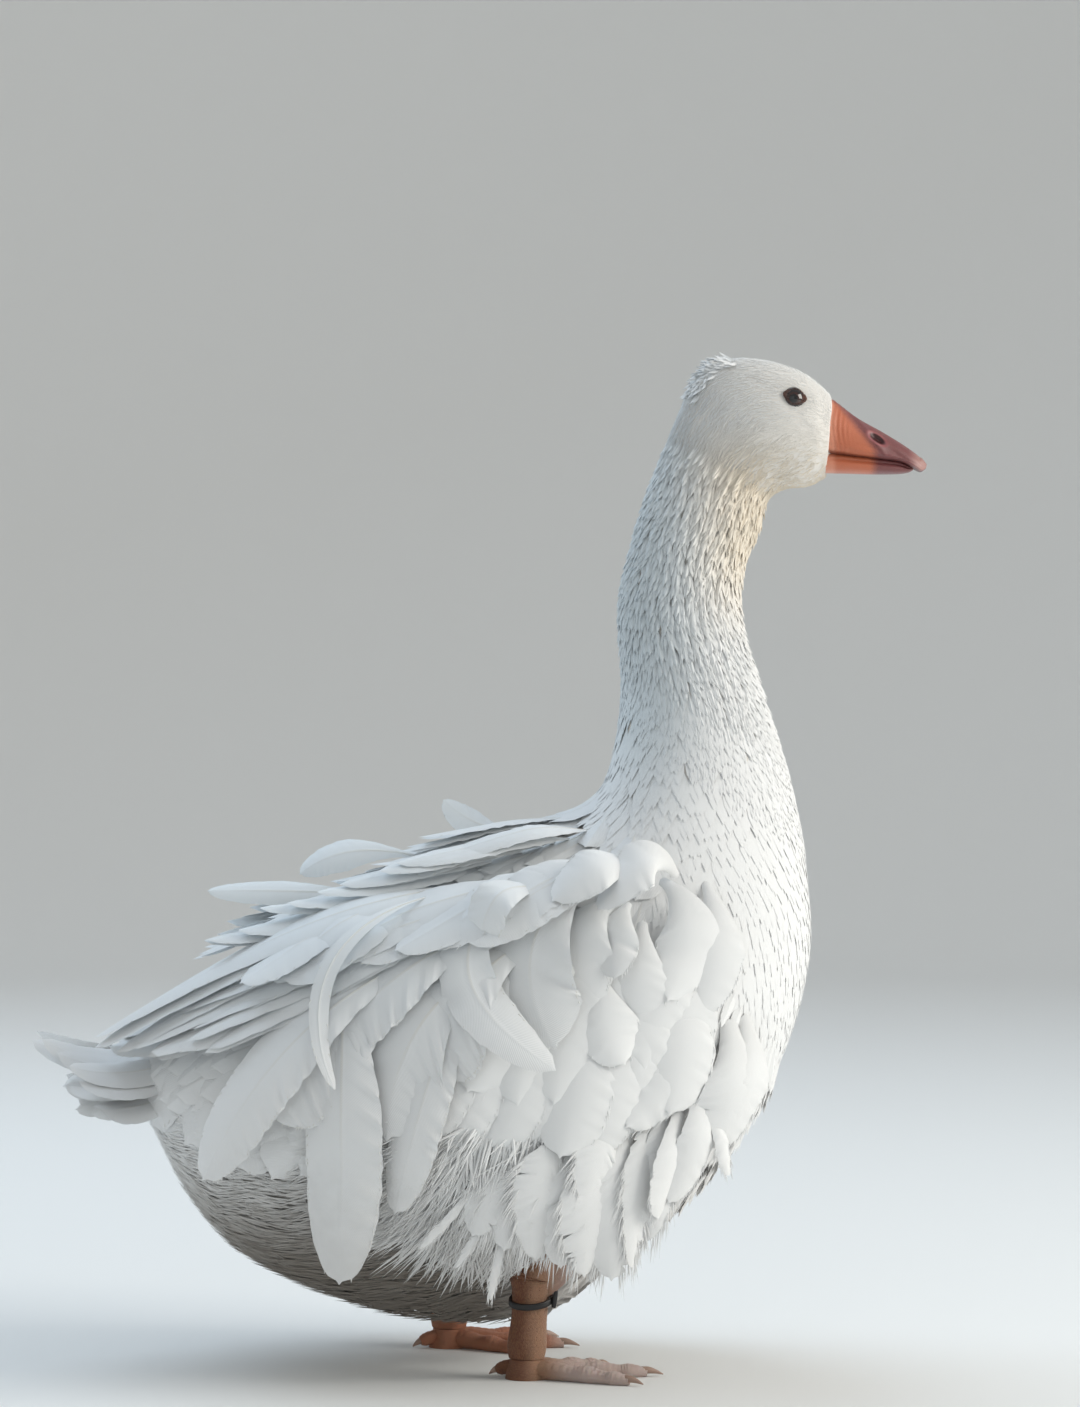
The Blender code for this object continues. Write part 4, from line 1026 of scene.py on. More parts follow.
# The bent shaft with a narrow vane that falls over them
BENT = [one((-22, 98, 302), (-82, 120, 244), (-76, 130, 176), 13, (12, 22), 0, -0.4)]
# Puffed feathers of the flank, whose tips tuck in along the fold over the hanging plumes
FLANK_LUMPS = [
    Row(
        [(6, 116, 232), (126, 100, 240)], [(-10, 120, 190), (62, 120, 186), (124, 106, 206)],
        [(-30, 118, 148), (20, 120, 146), (72, 118, 138), (114, 106, 162)], 9, 42, (0, 6), -5, 0.15,
    ),
    Row(
        [(30, 116, 258), (118, 106, 256)], [(6, 122, 220), (110, 112, 222)],
        [(-16, 120, 178), (44, 122, 166), (100, 112, 184)], 7, 44, (2, 9), -5, -0.15,
    ),
]
# Loose plumes that hang under the fold, with the curled ones of the breast's side in front
HANGING = [
    one((24, 116, 152), (14, 118, 126), (0, 114, 92), 38, (1, 8), 1, 0.3),
    one((38, 116, 152), (30, 118, 122), (18, 114, 84), 40, (1, 7), 1, 0.2),
    one((52, 114, 150), (44, 118, 118), (36, 112, 78), 40, (1, 9), 1, -0.3),
    one((64, 114, 148), (56, 116, 114), (50, 110, 74), 38, (2, 10), 1, 0.15),
    one((76, 112, 154), (70, 116, 112), (64, 108, 68), 40, (2, 9), 1, -0.15),
    one((90, 108, 158), (84, 112, 116), (79, 106, 66), 40, (2, 9), 1, 0.25),
    one((104, 104, 158), (98, 108, 124), (91, 102, 72), 28, (3, 10), 1, -0.4),
    one((114, 100, 162), (108, 104, 132), (100, 100, 88), 26, (4, 11), 2, 0.5),
    one((56, 116, 152), (42, 120, 132), (24, 118, 106), 24, (3, 8), 2, 0.2),
    one((84, 110, 160), (74, 116, 138), (66, 112, 108), 30, (7, 13), 2, -0.3),
]
CURLED = [
    one((136, 98, 190), (116, 108, 178), (88, 112, 154), 34, (4, 11), 0, 0.15),
    one((150, 90, 212), (152, 94, 176), (138, 94, 138), 36, (3, 10), -4, 0.2),
    one((134, 98, 178), (130, 102, 146), (112, 102, 110), 24, (5, 12), 3, 0.5),
    one((142, 94, 168), (143, 95, 146), (146, 92, 124), 10, (2, 4), 2, -0.3),
    one((124, 102, 164), (116, 106, 134), (106, 104, 100), 24, (6, 12), 3, -0.4),
    one((162, 82, 214), (163, 86, 180), (152, 88, 148), 28, (1, 5), -2, -0.2),
    one((20, 116, 116), (8, 114, 98), (-10, 110, 74), 5, (4, 12), 2, 0.3),
    one((24, 114, 104), (16, 112, 80), (10, 106, 54), 5, (4, 12), 2, -0.3),
    one((4, 116, 122), (-12, 114, 102), (-30, 110, 84), 5, (4, 12), 2, 0.2),
]
WING_ROWS = [
    Row(
        [(-6, 78, 296), (-30, 106, 250)], [(-104, 78, 262), (-104, 104, 226)],
        [(-224, 34, 196), (-170, 70, 188)], 8, 34, (6, 15), 3, 0.1,
    ),
    Row(
        [(44, 84, 300), (0, 100, 280)], [(-44, 92, 274), (-70, 108, 246)],
        [(-176, 60, 214), (-146, 92, 192)], 8, 32, (6, 16), 3, 0.2,
    ),
    Row(
        [(86, 90, 310), (-60, 76, 286)], [(46, 106, 290), (-94, 92, 262)],
        [(-2, 116, 258), (-130, 98, 236)], 9, 40, (3, 15), 2, 0.1,
    ),
    one((40, 106, 300), (14, 118, 286), (4, 120, 258), 34, (8, 14), -4, 0.1),
    one((22, 110, 294), (-2, 122, 240), (44, 124, 188), 36, (8, 24), 6, -0.55),
    one((70, 102, 304), (34, 118, 256), (46, 122, 200), 62, (8, 15), -4, 0.1),
]
# The soft curled feathers of the shoulder: a cap, petals that bow in from both sides and a round heart
ROSETTE_ROWS = [
    one((138, 92, 296), (140, 100, 256), (128, 104, 216), 42, (0, 5), -4, 0.1),
    one((130, 98, 252), (124, 106, 220), (112, 108, 190), 40, (2, 7), -5, -0.1),
    one((98, 104, 308), (72, 112, 304), (46, 118, 284), 36, (3, 8), -3, 0.2),
    one((84, 108, 290), (62, 114, 260), (64, 118, 214), 44, (5, 11), -6, 0.25),
    one((72, 112, 244), (76, 118, 216), (86, 118, 190), 36, (5, 10), -6, -0.2),
    one((104, 106, 238), (98, 114, 210), (90, 116, 182), 38, (4, 9), -6, 0.2),
    one((98, 106, 272), (94, 114, 242), (92, 118, 212), 44, (7, 14), -9, 0.1),
    one((90, 108, 284), (82, 114, 264), (80, 116, 238), 26, (9, 14), -4, 0.3),
    one((108, 102, 298), (124, 106, 266), (112, 112, 226), 36, (7, 14), -6, -0.3),
    one((118, 98, 296), (100, 108, 306), (72, 118, 278), 34, (10, 17), 0, 0.35),
]
BACK_ROWS = [
    Row(
        [(56, 14, 332), (-70, 12, 290)], [(20, 26, 324), (-110, 20, 268)], [(-34, 30, 314), (-168, 24, 242)],
        13, 22, (-3, 2), 1, 0.12,
    ),
    Row(
        [(64, 50, 326), (-60, 46, 284)], [(30, 62, 320), (-96, 58, 268)], [(-26, 66, 306), (-160, 60, 256)],
        13, 22, (-3, 3), 1, -0.12,
    ),
    Row(
        [(-120, 30, 256), (-150, 56, 220)], [(-164, 26, 228), (-176, 46, 200)],
        [(-212, 16, 202), (-214, 36, 186)], 4, 28, (2, 8), 3, 0.1,
    ),
]
# Feathers that stand off the back with their flat side to the near side
RAISED_ROWS = [
    one((-54, 30, 282), (-112, 30, 284), (-158, 28, 284), 20, (0, 0), 0, 0.1),
    one((24, 6, 318), (2, 6, 323), (-19, 6, 337), 19, (0, 0), 0, 0.2),
    one((-34, 20, 304), (-74, 20, 307), (-104, 20, 294), 24, (0, 0), 0, 0.2),
]
TAIL_ROWS = [
    Row(
        [(-158, 10, 172), (-156, 36, 170)], [(-204, 14, 163), (-196, 46, 161)],
        [(-238, 12, 157), (-222, 56, 157)], 4, 30, (0, 0), 1, 0.1,
    ),
    Row(
        [(-158, 10, 184), (-154, 34, 180)], [(-210, 14, 175), (-200, 44, 171)],
        [(-249, 12, 170), (-230, 52, 168)], 4, 30, (0, 0), 2, 0.0,
    ),
    Row(
        [(-152, 10, 197), (-148, 30, 192)], [(-206, 14, 184), (-196, 38, 179)],
        [(-265, 12, 194), (-238, 46, 180)], 4, 29, (0, 0), 3, -0.1,
    ),
]


def hung_lines(spots, lifts, curl, up=None, rings=14, hold_to=0.6):
    """Centre lines of long feathers from root through middle to tip, held to the body at their roots."""
    root, middle, tip = (spots[:, k, None] for k in range(3))
    t = np.linspace(0, 1, rings)[None, :, None]
    control = middle * 2 - (root + tip) / 2
    p = root * (1 - t) ** 2 + control * 2 * t * (1 - t) + tip * t * t
    if up is None:
        s, angle = nearest_on_body(p.reshape(-1, 3))
        out = tangents(s, angle)[2].reshape(p.shape)
        near = coat_point(s, angle).reshape(p.shape)
        height = ((p - near) * out).sum(-1, keepdims=True)
        lift = lifts[:, None, :1] * (1 - t) + lifts[:, None, 1:] * t
        hold = np.clip(1 - t / hold_to, 0, 1) ** 2
        lift = np.where(height > lift, height + (lift - height) * hold, lift)
        p = near + out * lift
        for _ in range(3):
            out[:, 1:-1] = unit(out[:, :-2] + 2 * out[:, 1:-1] + out[:, 2:])
    else:
        out = np.broadcast_to(unit(np.array(up, float)), p.shape)
    return p + out * curl[:, None, None] * t**3, out


def hung_rows(rows, side, rings, up=None, shake=3.0):
    """Centre lines, ways out, widths and twists of the feathers of some rows on one side."""
    chance = random.Random(SEED + side)
    spots, lifts, curls, widths, twists = [], [], [], [], []
    for row in rows:
        for k in range(row.count):
            share = (k + chance.uniform(-0.2, 0.2) * (row.count > 1)) / max(row.count - 1, 1)
            share = min(max(share, 0), 1)
            places = []
            for line in (row.roots, row.middles, row.tips):
                p = spline(line, share * (len(line) - 1)) if len(line) > 1 else np.array(line[0], float)
                reach = shake * (len(places) + 1) / 2 * (row.count > 1)
                places.append(p * (1, side, 1) + [chance.uniform(-reach, reach) for _ in range(3)])
            spots.append(places)
            lifts.append([lift * chance.uniform(0.8, 1.2) for lift in row.lifts])
            curls.append(row.curl * chance.uniform(0.3, 1.6))
            widths.append(row.width * chance.uniform(0.86, 1.14))
            twists.append(side * row.twist * chance.uniform(0.4, 1.6))
    if up is not None:
        up = np.array(up) * (1, side, 1)
    lines, outs = hung_lines(np.array(spots), np.array(lifts), np.array(curls), up)
    finer = np.linspace(0, lines.shape[1] - 1, rings)
    lines = np.array([spline(line, finer) for line in lines])
    outs = np.array([unit(spline(out, finer)) for out in outs])
    return lines, outs, np.array(widths), np.array(twists)


def hang(coat, rows, kind, side, rings, columns, up=None, **look):
    """Adds rows of long feathers of one side to a piece."""
    lines, outs, widths, twists = hung_rows(rows, side, rings, up)
    roots = nearest_on_body(lines[:, 0])
    blades(coat, lines, outs, widths, kind, roots, columns=columns, tilt=side * 0.14, twist=twists, **look)


def build_long_feathers():
    """Wing, flank, back and tail feathers, each a vane on its shaft."""
    for name, side in SIDES.items():
        coat = Coat("wing_feathers_" + name)
        hang(
            coat, WING_ROWS, "flight", side, 30, 5, thick=0.7, sweep=0.8, camber=0.16, ragged=0.06, folds=0.5,
            fold_length=9.0, barbs=10, barb_length=3.5,
        )
        hang(
            coat, DROOPING, "petal", side, 60, 7, thick=0.6, sweep=1.0, camber=0.2, ragged=0.025,
            folds=1.5, fold_length=14.0, barbs=50, barb_length=2.5, calm=0.2,
        )
        hang(
            coat, BENT, "flight", side, 30, 3, thick=0.6, sweep=0.9, camber=0.1, barbs=20, barb_length=3.0,
        )
        coat.make(VANE, "white_plumage", "wing_" + name)
        coat = Coat("shoulder_curls_" + name)
        hang(
            coat, ROSETTE_ROWS, "round", side, 32, 6, thick=0.4, sweep=0.5, camber=0.26, ragged=0.03,
            folds=0.5, fold_length=14.0, barbs=60, barb_length=2.5, shaft=0.0,
        )
        coat.make(PLUMES, "white_plumage")
        coat = Coat("flank_puffs_" + name)
        hang(
            coat, FLANK_LUMPS, "petal", side, 32, 6, thick=0.3, sweep=0.6, camber=0.3, ragged=0.04, folds=0.7,
            fold_length=12.0, barbs=60, barb_length=4.0, barb_start=0.3, shaft=0.0,
        )
        coat.make(PLUMES, "white_plumage")
        coat = Coat("flank_ruffles_" + name)
        hang(
            coat, HANGING, "plume", side, 50, 6, thick=0.4, sweep=1.0, camber=0.25, ragged=0.12, splits=0.05,
            folds=0.7, fold_length=9.0, barbs=150, barb_length=12.0, barb_start=0.35, shaft=0.0,
        )
        hang(
            coat, CURLED, "petal", side, 32, 6, thick=0.4, sweep=0.6, camber=0.28, ragged=0.05, splits=0.02,
            folds=0.7, fold_length=11.0, barbs=40, barb_length=5.0, barb_start=0.6, shaft=0.0,
        )
        coat.make(PLUMES, "white_plumage")
    coat = Coat("back_plumes")
    for side in SIDES.values():
        hang(
            coat, BACK_ROWS, "flight", side, 24, 4, thick=0.6, sweep=0.7, camber=0.25, ragged=0.06, folds=0.5,
            fold_length=9.0, barbs=8, barb_length=3.0,
        )
    hang(
        coat, RAISED_ROWS, "round", -1, 40, 5, up=(0, 1, 0.5), thick=0.6, sweep=0.7, camber=0.3, ragged=0.05,
        folds=0.4, fold_length=7.0,
    )
    coat.make(VANE, "white_plumage")
    coat = Coat("tail_feathers")
    for side in SIDES.values():
        hang(
            coat, TAIL_ROWS, "plume", side, 28, 5, up=(0, 0.6, 0.8), thick=0.8, sweep=0.7, camber=0.15,
            ragged=0.03, folds=0.3, fold_length=11.0,
        )
    coat.make(VANE, "white_plumage", "tail")


# Bill and eyes

def closed_loft(rows, columns, surface):
    """Points and triangles of a closed surface from a function of share along it and angle round it."""
    return capped(surface(*round_grid(rows, columns)))


def add_shares(obj, share, rounds, *ends):
    """Keeps each point's share along and round its piece, and those of the points that close its ends."""
    along = np.concatenate([share.ravel(), ends])
    add_values(obj, length_share=along, round_share=np.concatenate([rounds.ravel(), 0 * np.array(ends)]))


def ring_mesh(rows, columns, surface):
    """Points and quads of a ring from a function of share along it and angle round its section."""
    share, angle = round_grid(rows, columns, True)
    quads = grid_faces(rows + 1, columns) % (rows * columns)
    return surface(share, angle).reshape(-1, 3), quads


def build_bill():
    """Upper bill with its nostrils, lip and nail, and the lower bill inside its edge."""

    def upper(share, angle):
        s = share * (len(UPPER_BILL) - 1)
        p = loft_point(UPPER_BILL, s, angle, 0.3, 0.9)
        out = unit(p - loft_axis(UPPER_BILL, s))
        x = p[..., 0] - NOSTRIL_PLACE[0]
        z = p[..., 2] - NOSTRIL_PLACE[1]
        along = x * math.cos(NOSTRIL_SLOPE) - z * math.sin(NOSTRIL_SLOPE)
        over = x * math.sin(NOSTRIL_SLOPE) + z * math.cos(NOSTRIL_SLOPE)
        turn = np.abs(angle) / math.pi
        # The hollow of the nostril, its rim, the groove ahead of it and the ridge at the panel's end
        side = ease(np.abs(p[..., 1]), 2.0, 5.0)
        hole = mound(along, 0, 5.4, 4) * mound(over, 0, 1.7) * side
        rim = mound(along, 0, 7.2, 4) * mound(over, -0.6, 3.2) * side
        fore = mound(along, 13, 9, 4) * mound(over, -1.0, 1.8) * side
        edge = p[..., 0] * PANEL_SLOPE + p[..., 2]
        ridge = 0.5 * mound(edge, 862, 2.4) * side * (1 - ease(p[..., 0], 240, 248))
        lip = 0.5 * mound(turn, 0.72, 0.05) * ease(share, 0.15, 0.3)
        nail = 0.6 * ease(share, 0.80, 0.84) * (1 - ease(turn, 0.30, 0.42))
        wrinkle = 0.12 * np.sin(p[..., 0] * 2.2 + 2 * np.sin(angle * 3)) * (1 - ease(p[..., 0], 216, 228))
        shape = -3.0 * hole + 0.7 * rim - 0.5 * fore + ridge + lip + nail + wrinkle
        return p + out * shape[..., None]

    def lower(share, angle):
        s = share * (len(LOWER_BILL) - 1)
        p = loft_point(LOWER_BILL, s, -angle, -0.2, 0.9)
        turn = np.abs(angle) / math.pi
        ends = ease(share, 0.1, 0.3) * (1 - ease(share, 0.8, 0.95))
        channel = -0.8 * mound(turn, 0.60, 0.06) * ends
        return p + np.stack([0 * channel, -np.sign(np.sin(angle)) * channel, 0 * channel], axis=-1)

    for name, node_name, surface, rows, columns in (
        ("upper_bill", "bill_upper", upper, 170, 110), ("lower_bill", "bill_lower", lower, 110, 72),
    ):
        points, faces = closed_loft(rows, columns, surface)
        obj = add_piece(name, points, faces, HORN, "orange_bill", node_name)
        share, angle = round_grid(rows, columns)
        add_shares(obj, share, np.abs(angle) / math.pi, 0.0, 1.0)


def build_eyes():
    """Eyeballs with a rounded wet front, each in an almond of bare wrinkled lids."""
    for name, side in SIDES.items():
        low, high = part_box("eye_" + name)
        centre = (np.array(low + high) / 2 - SHIFT) / MM
        s, angle = nearest_on_body(np.array([centre + np.array([0, side * 5.0, 0])]))
        out = unit(tangents(s, angle)[2][0] + np.array([0.0, side * 0.6, 0.0]))
        # The almond slopes down towards the bill
        slope = np.array([1.0, 0, -0.22])
        fore = unit(slope - out * np.dot(out, slope))
        up = np.cross(fore, out)
        up = up * np.sign(up[2])

        def globe(share, angle):
            lean = math.pi * (0.02 + 0.96 * share)
            flat = np.sin(lean)[..., None]
            bulge = 1 + 0.05 * mound(lean, 0, 0.5)
            reach = EYE_RADIUS * bulge[..., None]
            round_it = fore * np.cos(angle)[..., None] + up * np.sin(angle)[..., None]
            return centre + (out * np.cos(lean)[..., None] + round_it * flat) * reach

        def lid(share, angle):
            turn = share * math.tau
            corner = np.abs(np.cos(turn)) ** 8
            wide = LID_REACH[0] + 0.7 * corner
            tall = LID_REACH[1]
            slack = 0.07 * np.sin(turn * 17 + 4 * np.sin(angle)) + 0.06 * np.sin(turn * 5)
            way = fore * np.cos(turn)[..., None] + up * np.sin(turn)[..., None]
            spot = fore * (wide * np.cos(turn))[..., None] + up * (tall * np.sin(turn))[..., None]
            inward = 0.5 - 0.5 * np.cos(angle)
            section = way * ((0.85 + 0.8 * corner) * np.cos(angle) + slack)[..., None]
            section = section + out * (0.55 * np.sin(angle) + slack - 0.5 * inward * corner)[..., None]
            return centre + spot + out * LID_OUT + section

        add_piece("eyeball_" + name, *closed_loft(40, 48, globe), IRIS, "dark_eye", "eye_" + name)
        rows, columns = 128, 20
        ring = add_piece("eyelids_" + name, *ring_mesh(rows, columns, lid), LID, "orange_leg_skin")
        share, angle = round_grid(rows, columns, True)
        add_shares(ring, share, 0.5 - 0.5 * np.cos(angle))


# Legs

def beads(u, v, size):
    """Height from 0 to 1 of close-set round scales of this size on a surface measured in mm."""
    best = np.full(np.shape(u), 9.0)
    row = np.floor(v / (size * 0.87))
    for k in (0, 1):
        r = row + k
        x = u / size - (r % 2) / 2
        gap = np.hypot((x - np.round(x)) * size, v - r * size * 0.87)
        best = np.minimum(best, gap)
    return np.sqrt(np.clip(1 - (best / (size * 0.6)) ** 2, 0, 1))


def tube_point(path, radii, share, angle, skin=0.0):
    """Point of a tube along a smooth path with two radii; angle 0 is across, a quarter turn up or fore."""
    last = len(path) - 1
    centre = spline(path, share * last)
    ahead = unit(spline(path, share * last + 0.03) - spline(path, share * last - 0.03))
    steep = np.abs(ahead[..., 2:3]) > 0.9
    guide = np.where(steep, np.array([0.0, 1.0, 0.0]), np.cross(ahead, np.array([0, 0, 1.0])))
    across = unit(guide - ahead * (guide * ahead).sum(-1, keepdims=True))
    rise = np.cross(across, ahead)
    r = spline(radii, share * last)
    wide = (r[..., 0] + skin) * np.cos(angle)
    tall = (r[..., 1] + skin) * np.sin(angle)
    return centre + across * wide[..., None] + rise * tall[..., None]


def build_leg(name, side):
    """Shank, foot and claws of one side."""
    x, z = ANKLES[name]
    y = side * STANCE
    path = np.array([
        (x, y, z - SHANK_BELOW), (x, y, z + 4), (x + 1, y, z + 20), (x + 2, y, z + 36), (x + 3, y, z + 46),
        (x + 9, y * 1.08, z + 58), (x + 16, y * 1.2, z + 72), (x + 22, y * 1.3, z + 84),
    ])
    radii = np.array([(9, 10), (9.5, 11), (8, 10), (8.5, 11), (9.5, 13), (8, 10), (7, 8), (7, 8)], float)

    def scales(share, angle):
        return beads(angle * SHANK_RADIUS, share * SHANK_HEIGHT, SHANK_SCALE)

    def shank(share, angle):
        height = share * SHANK_HEIGHT
        fold = 0.5 * np.sin(angle * 3 + 0.05 * height) + 0.35 * np.sin(angle * 7 + 0.11 * height)
        crease = 0.8 * mound(share, 0.52, 0.015) + 0.6 * mound(share, 0.56, 0.01)
        return tube_point(path, radii, share, angle, scales(share, angle) * 0.45 + fold * 0.5 - crease)

    rows, columns = 210, 144
    points, faces = closed_loft(rows, columns, shank)
    leg = add_piece("leg_" + name, points, faces, SCALES, "orange_leg_skin", "shank_" + name)
    groove = 1 - ease(scales(*round_grid(rows, columns)), 0.15, 0.7)
    add_values(leg, groove=np.concatenate([groove.ravel(), [0, 0]]))
    build_leg_fold(name, side, x, z)
    build_foot(name, side, np.array([x, y, 0.0]), z - SHANK_BELOW)


def slab(steps, faces_at):
    """Points and triangles of a thin sheet, whose two faces come from a function of the shares both ways."""
    shares = np.linspace(0, 1, steps)
    pairs = [faces_at(u, v) for u in shares for v in shares]
    quads = grid_faces(steps, steps, False)
    grid = np.arange(steps * steps).reshape(steps, steps)
    rim = [*grid[0], *grid[1:, -1], *grid[-1, -2::-1], *grid[-2:0:-1, 0]]
    walls = [(p, q, q + grid.size, p + grid.size) for p, q in zip(rim, rim[1:] + rim[:1])]
    points = np.array([top for top, _ in pairs] + [low for _, low in pairs])
    return points, halved(np.concatenate([quads, quads[:, ::-1] + grid.size, walls]))


def build_leg_fold(name, side, x, z):
    """The loose bare skin in front of the leg where it leaves the plumage: a thin slack triangle."""
    back_top = np.array([x + 8, z + 56])
    back_low = np.array([x + 9, z + 31])
    fore = np.array([x + 30, z + 49])

    def faces_at(u, v):
        px, pz = back_top * (1 - v) + back_low * v + (fore - back_top) * u * (1 - v) ** 0.8
        middle = side * STANCE * (1.12 - 0.06 * v) + 0.7 * math.sin(9 * v + 5 * u) * u
        thick = 0.5 * (1 - 0.6 * u)
        return (px, middle + thick, pz), (px, middle - thick, pz)

    add_piece("leg_fold_" + name, *slab(24, faces_at), SCALES, "orange_leg_skin")


def build_foot(name, side, home, top):
    """Three scaly toes with webs between them, a hind toe and the knuckle; claws are their own piece."""
    heading = -side * math.radians(TOE_IN)
    meshes = []
    claws = []

    def place(length, turn, height):
        way = heading + turn
        return home + np.array([math.cos(way) * length, math.sin(way) * length, height])

    def add_tube(store, path, radii, rows, columns, scute, rough):
        path = np.array(path)
        radii = np.array([(r, r) if np.isscalar(r) else r for r in radii], float)
        reach = np.linalg.norm(np.diff(path, axis=0), axis=1).sum()

        def surface(share, angle):
            length = share * reach
            above = ease(np.sin(angle), 0.0, 0.5)
            plates = np.abs(np.sin(length * math.pi / scute)) ** 0.5 * rough * above
            pebbles = beads(angle * 5, length, 1.8) * rough * 0.7 * (1 - above)
            return tube_point(path, radii, share, angle, plates + pebbles)

        store.append(closed_loft(rows, columns, surface))

    # Shares of a toe's length and the heights of its middle line there; then the same for its claw
    rise = ((0.02, 5.4), (0.2, 5.4), (0.42, 4.4), (0.56, 4.4), (0.72, 3.4), (0.81, 3.4), (0.95, 2.6))
    claw_rise = ((0.90, 3.8), (0.96, 3.9), (1.02, 3.0), (1.08, 1.4))
    for length, turn in zip(TOE_LENGTHS, TOE_TURNS):
        turn = -side * math.radians(turn)
        toe = [place(length * share, turn, h) for share, h in rise]
        add_tube(meshes, toe, (5.8, 5.6, 4.3, 4.9, 3.6, 4.1, 2.2), 110, 40, 3.2, 0.45)
        claw = [place(length * share, turn, h) for share, h in claw_rise]
        add_tube(claws, claw, (2.3, 2.1, 1.3, 0.3), 24, 20, 40, 0.0)
    back = math.pi + side * math.radians(24)
    hind = [place(length, back, h) for length, h in ((4, 6.4), (12, 6.0), (17, 4.6), (19, 3.8))]
    add_tube(meshes, hind, (4.6, 4.0, 3.4, 2.2), 50, 32, 2.6, 0.35)
    claw = [place(length, back, h) for length, h in ((18, 4.6), (20, 4.0), (22, 2.8), (24, 1.2))]
    add_tube(claws, claw, (2.2, 1.9, 1.2, 0.3), 20, 16, 40, 0.0)
    knuckle = [home + np.array(p) for p in ((-1, 0, -3), (0, 0, 4), (0, 0, top - 0.4))]
    add_tube(meshes, knuckle, ((11, 12), (10.5, 12), (9, 10)), 40, 96, 2.4, 0.4)
    for a, b in ((0, 1), (1, 2)):
        meshes.append(web_mesh(place, a, b, side))
    for label, store, finish, *nodes in (
        ("foot_skin_", meshes, SCALES, "foot_" + name), ("claws_", claws, CLAW),
    ):
        verts, faces = joined(store)
        verts[:, 2] = np.maximum(verts[:, 2], 0.0)
        add_piece(label + name, verts, faces, finish, "orange_leg_skin", *nodes)


def web_mesh(place, a, b, side):
    """The skin between two toes: thin, with slack folds that run out to a hollow front edge."""

    def faces_at(u, v):
        out = 0.05 + 0.82 * u
        hollow = 1 - 0.16 * math.sin(math.pi * v) * u
        length = (TOE_LENGTHS[a] * (1 - v) + TOE_LENGTHS[b] * v) * out * hollow
        turn = -side * math.radians(TOE_TURNS[a] * (1 - v) + TOE_TURNS[b] * v)
        slack = 0.35 * math.sin(v * 31) * math.sin(math.pi * v) + 0.12 * math.sin(length * 1.9 + 9 * v)
        height = 1.95 + 5.0 * (1 - out) ** 2 + slack * out
        thick = 0.2 + 0.5 * min(1, (1 - u) * 7.8)
        return place(length, turn, height + thick), place(length, turn, height - thick)

    return slab(40, faces_at)


def build_band():
    """The plain moulded band on the right shank, sagging a little in front, with its clasp."""
    x, y, z = ANKLES["right"][0] + 2.3, -STANCE, BAND_HEIGHT

    def ring(share, angle):
        turn = share * math.tau
        centre = np.stack([
            x + 12.4 * np.cos(turn), y + 10.4 * np.sin(turn), z + 1.0 * np.cos(turn) + 3.0 * np.sin(turn)
        ], axis=-1)
        out = np.stack([np.cos(turn), np.sin(turn), 0 * turn], axis=-1)
        flat, tall = (np.sign(w) * np.abs(w) ** 0.5 for w in (np.cos(angle), np.sin(angle)))
        return centre + out * (0.9 * flat)[..., None] + np.array([0, 0, 1.9]) * tall[..., None]

    points, quads = ring_mesh(96, 16, ring)
    path = np.array([(x + 13.0, y - 3.5, z - 4.0), (x + 13.6, y - 3.5, z), (x + 14.6, y - 3.5, z + 6.0)])
    radii = np.array([(2.6, 1.5), (2.6, 1.5), (2.2, 1.3)])

    def clasp(share, angle):
        square = np.abs(np.cos(angle)) ** 4 + np.abs(np.sin(angle)) ** 4
        end = np.clip(np.sin(math.pi * (0.04 + 0.92 * share)), 0, 1) ** 0.25
        return tube_point(path, radii, share, angle, (square**-0.25 - 1) * 2.0 + (end - 1) * 1.2)

    band = joined([(points, halved(quads)), closed_loft(24, 24, clasp)])
    add_piece("band", *band, BAND, "black_plastic", "leg_band")


build_skin()
build_head_coat()
build_neck_coat()
build_trunk_coat()
build_long_feathers()
for leg_name, leg_side in SIDES.items():
    build_leg(leg_name, leg_side)
build_bill()
build_eyes()
build_band()


# Studio

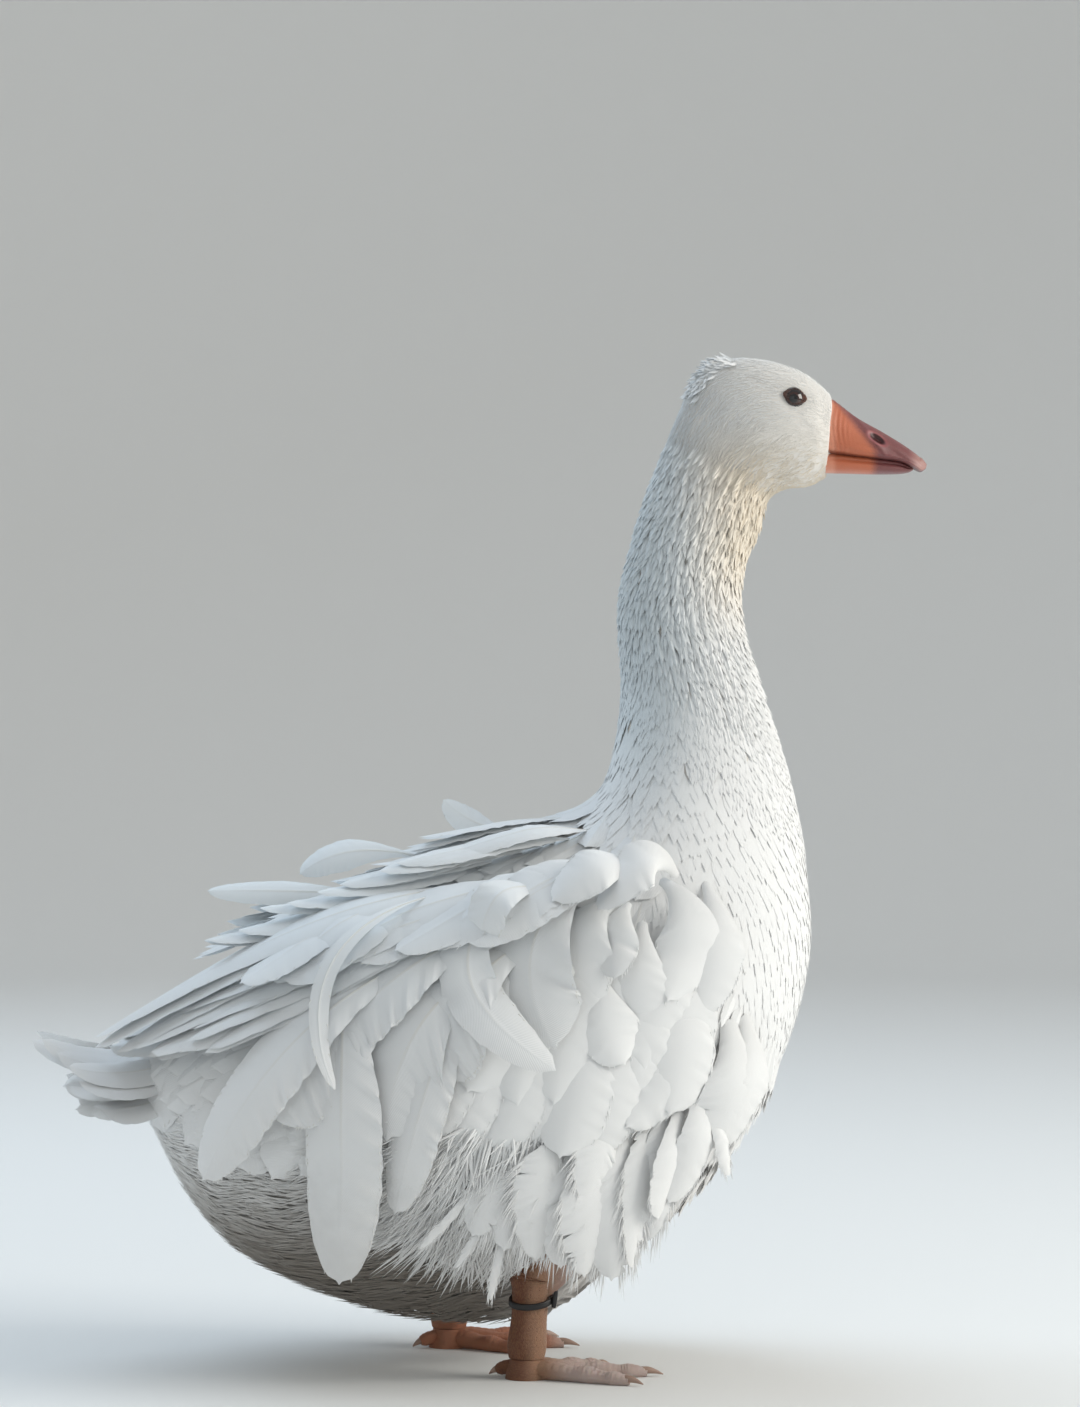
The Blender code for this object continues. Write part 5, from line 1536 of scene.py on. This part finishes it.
def build_studio():
    """A pale floor that curves up into a round backdrop, soft lights and the photograph's camera."""
    flat, bend, high, steps, sides = 3.4, 1.8, 5.0, 24, 96
    turns = [math.pi / 2 * k / steps for k in range(steps + 1)]
    profile = [(0.5, 0.0), (1.5, 0.0)]
    profile += [(flat + bend * math.sin(t), bend * (1 - math.cos(t))) for t in turns] + [(flat + bend, high)]
    verts = [
        (r * math.cos(math.tau * j / sides), r * math.sin(math.tau * j / sides), z)
        for r, z in profile for j in range(sides)
    ]
    mesh = bpy.data.meshes.new("backdrop")
    middle = [(len(verts), (j + 1) % sides, j) for j in range(sides)]
    mesh.from_pydata(verts + [(0.0, 0.0, 0.0)], [], grid_faces(len(profile), sides).tolist() + middle)
    mesh.shade_smooth()
    backdrop = bpy.data.objects.new("backdrop", mesh)
    bpy.context.scene.collection.objects.link(backdrop)
    mesh.materials.append(new_material("backdrop_paper", Roughness=0.9, Base_Color=linear("F0F0EE"))[0])
    world = bpy.data.worlds.new("studio")
    world.use_nodes = True
    air = world.node_tree.nodes["Background"]
    air.inputs["Color"].default_value = linear("DADCDE")
    air.inputs["Strength"].default_value = 0.62
    bpy.context.scene.world = world
    # Place and size in metres, power in watts and colour
    lights = [
        ("sky", (-1.0, 1.0, 2.4), 2.2, 34, "D2E8FC"),
        ("window", (2.4, -0.5, 1.3), 1.5, 46, "FFFCF5"),
        ("fill", (-0.6, -2.8, 1.0), 2.0, 4, "E4ECF4"),
    ]
    for name, place, size, power, colour in lights:
        light = bpy.data.lights.new(name, "AREA")
        light.size = size
        light.energy = power
        light.color = linear(colour)[:3]
        lamp = bpy.data.objects.new(name, light)
        lamp.location = place
        lamp.rotation_euler = (Vector((0, 0, 0.3)) - Vector(place)).to_track_quat("-Z", "Y").to_euler()
        bpy.context.scene.collection.objects.link(lamp)
    camera = bpy.data.cameras.new("camera")
    camera.sensor_width = SENSOR_MM
    camera.lens = SENSOR_MM * VIEW_DISTANCE / VIEW_WIDTH
    eye = bpy.data.objects.new("camera", camera)
    eye.location = (VIEW_AHEAD + SHIFT[0], SHIFT[1] - VIEW_DISTANCE, VIEW_HEIGHT)
    eye.rotation_euler = (math.pi / 2, 0, 0)
    bpy.context.scene.collection.objects.link(eye)
    bpy.context.scene.camera = eye
    bpy.context.scene.view_settings.view_transform = "Standard"


build_studio()
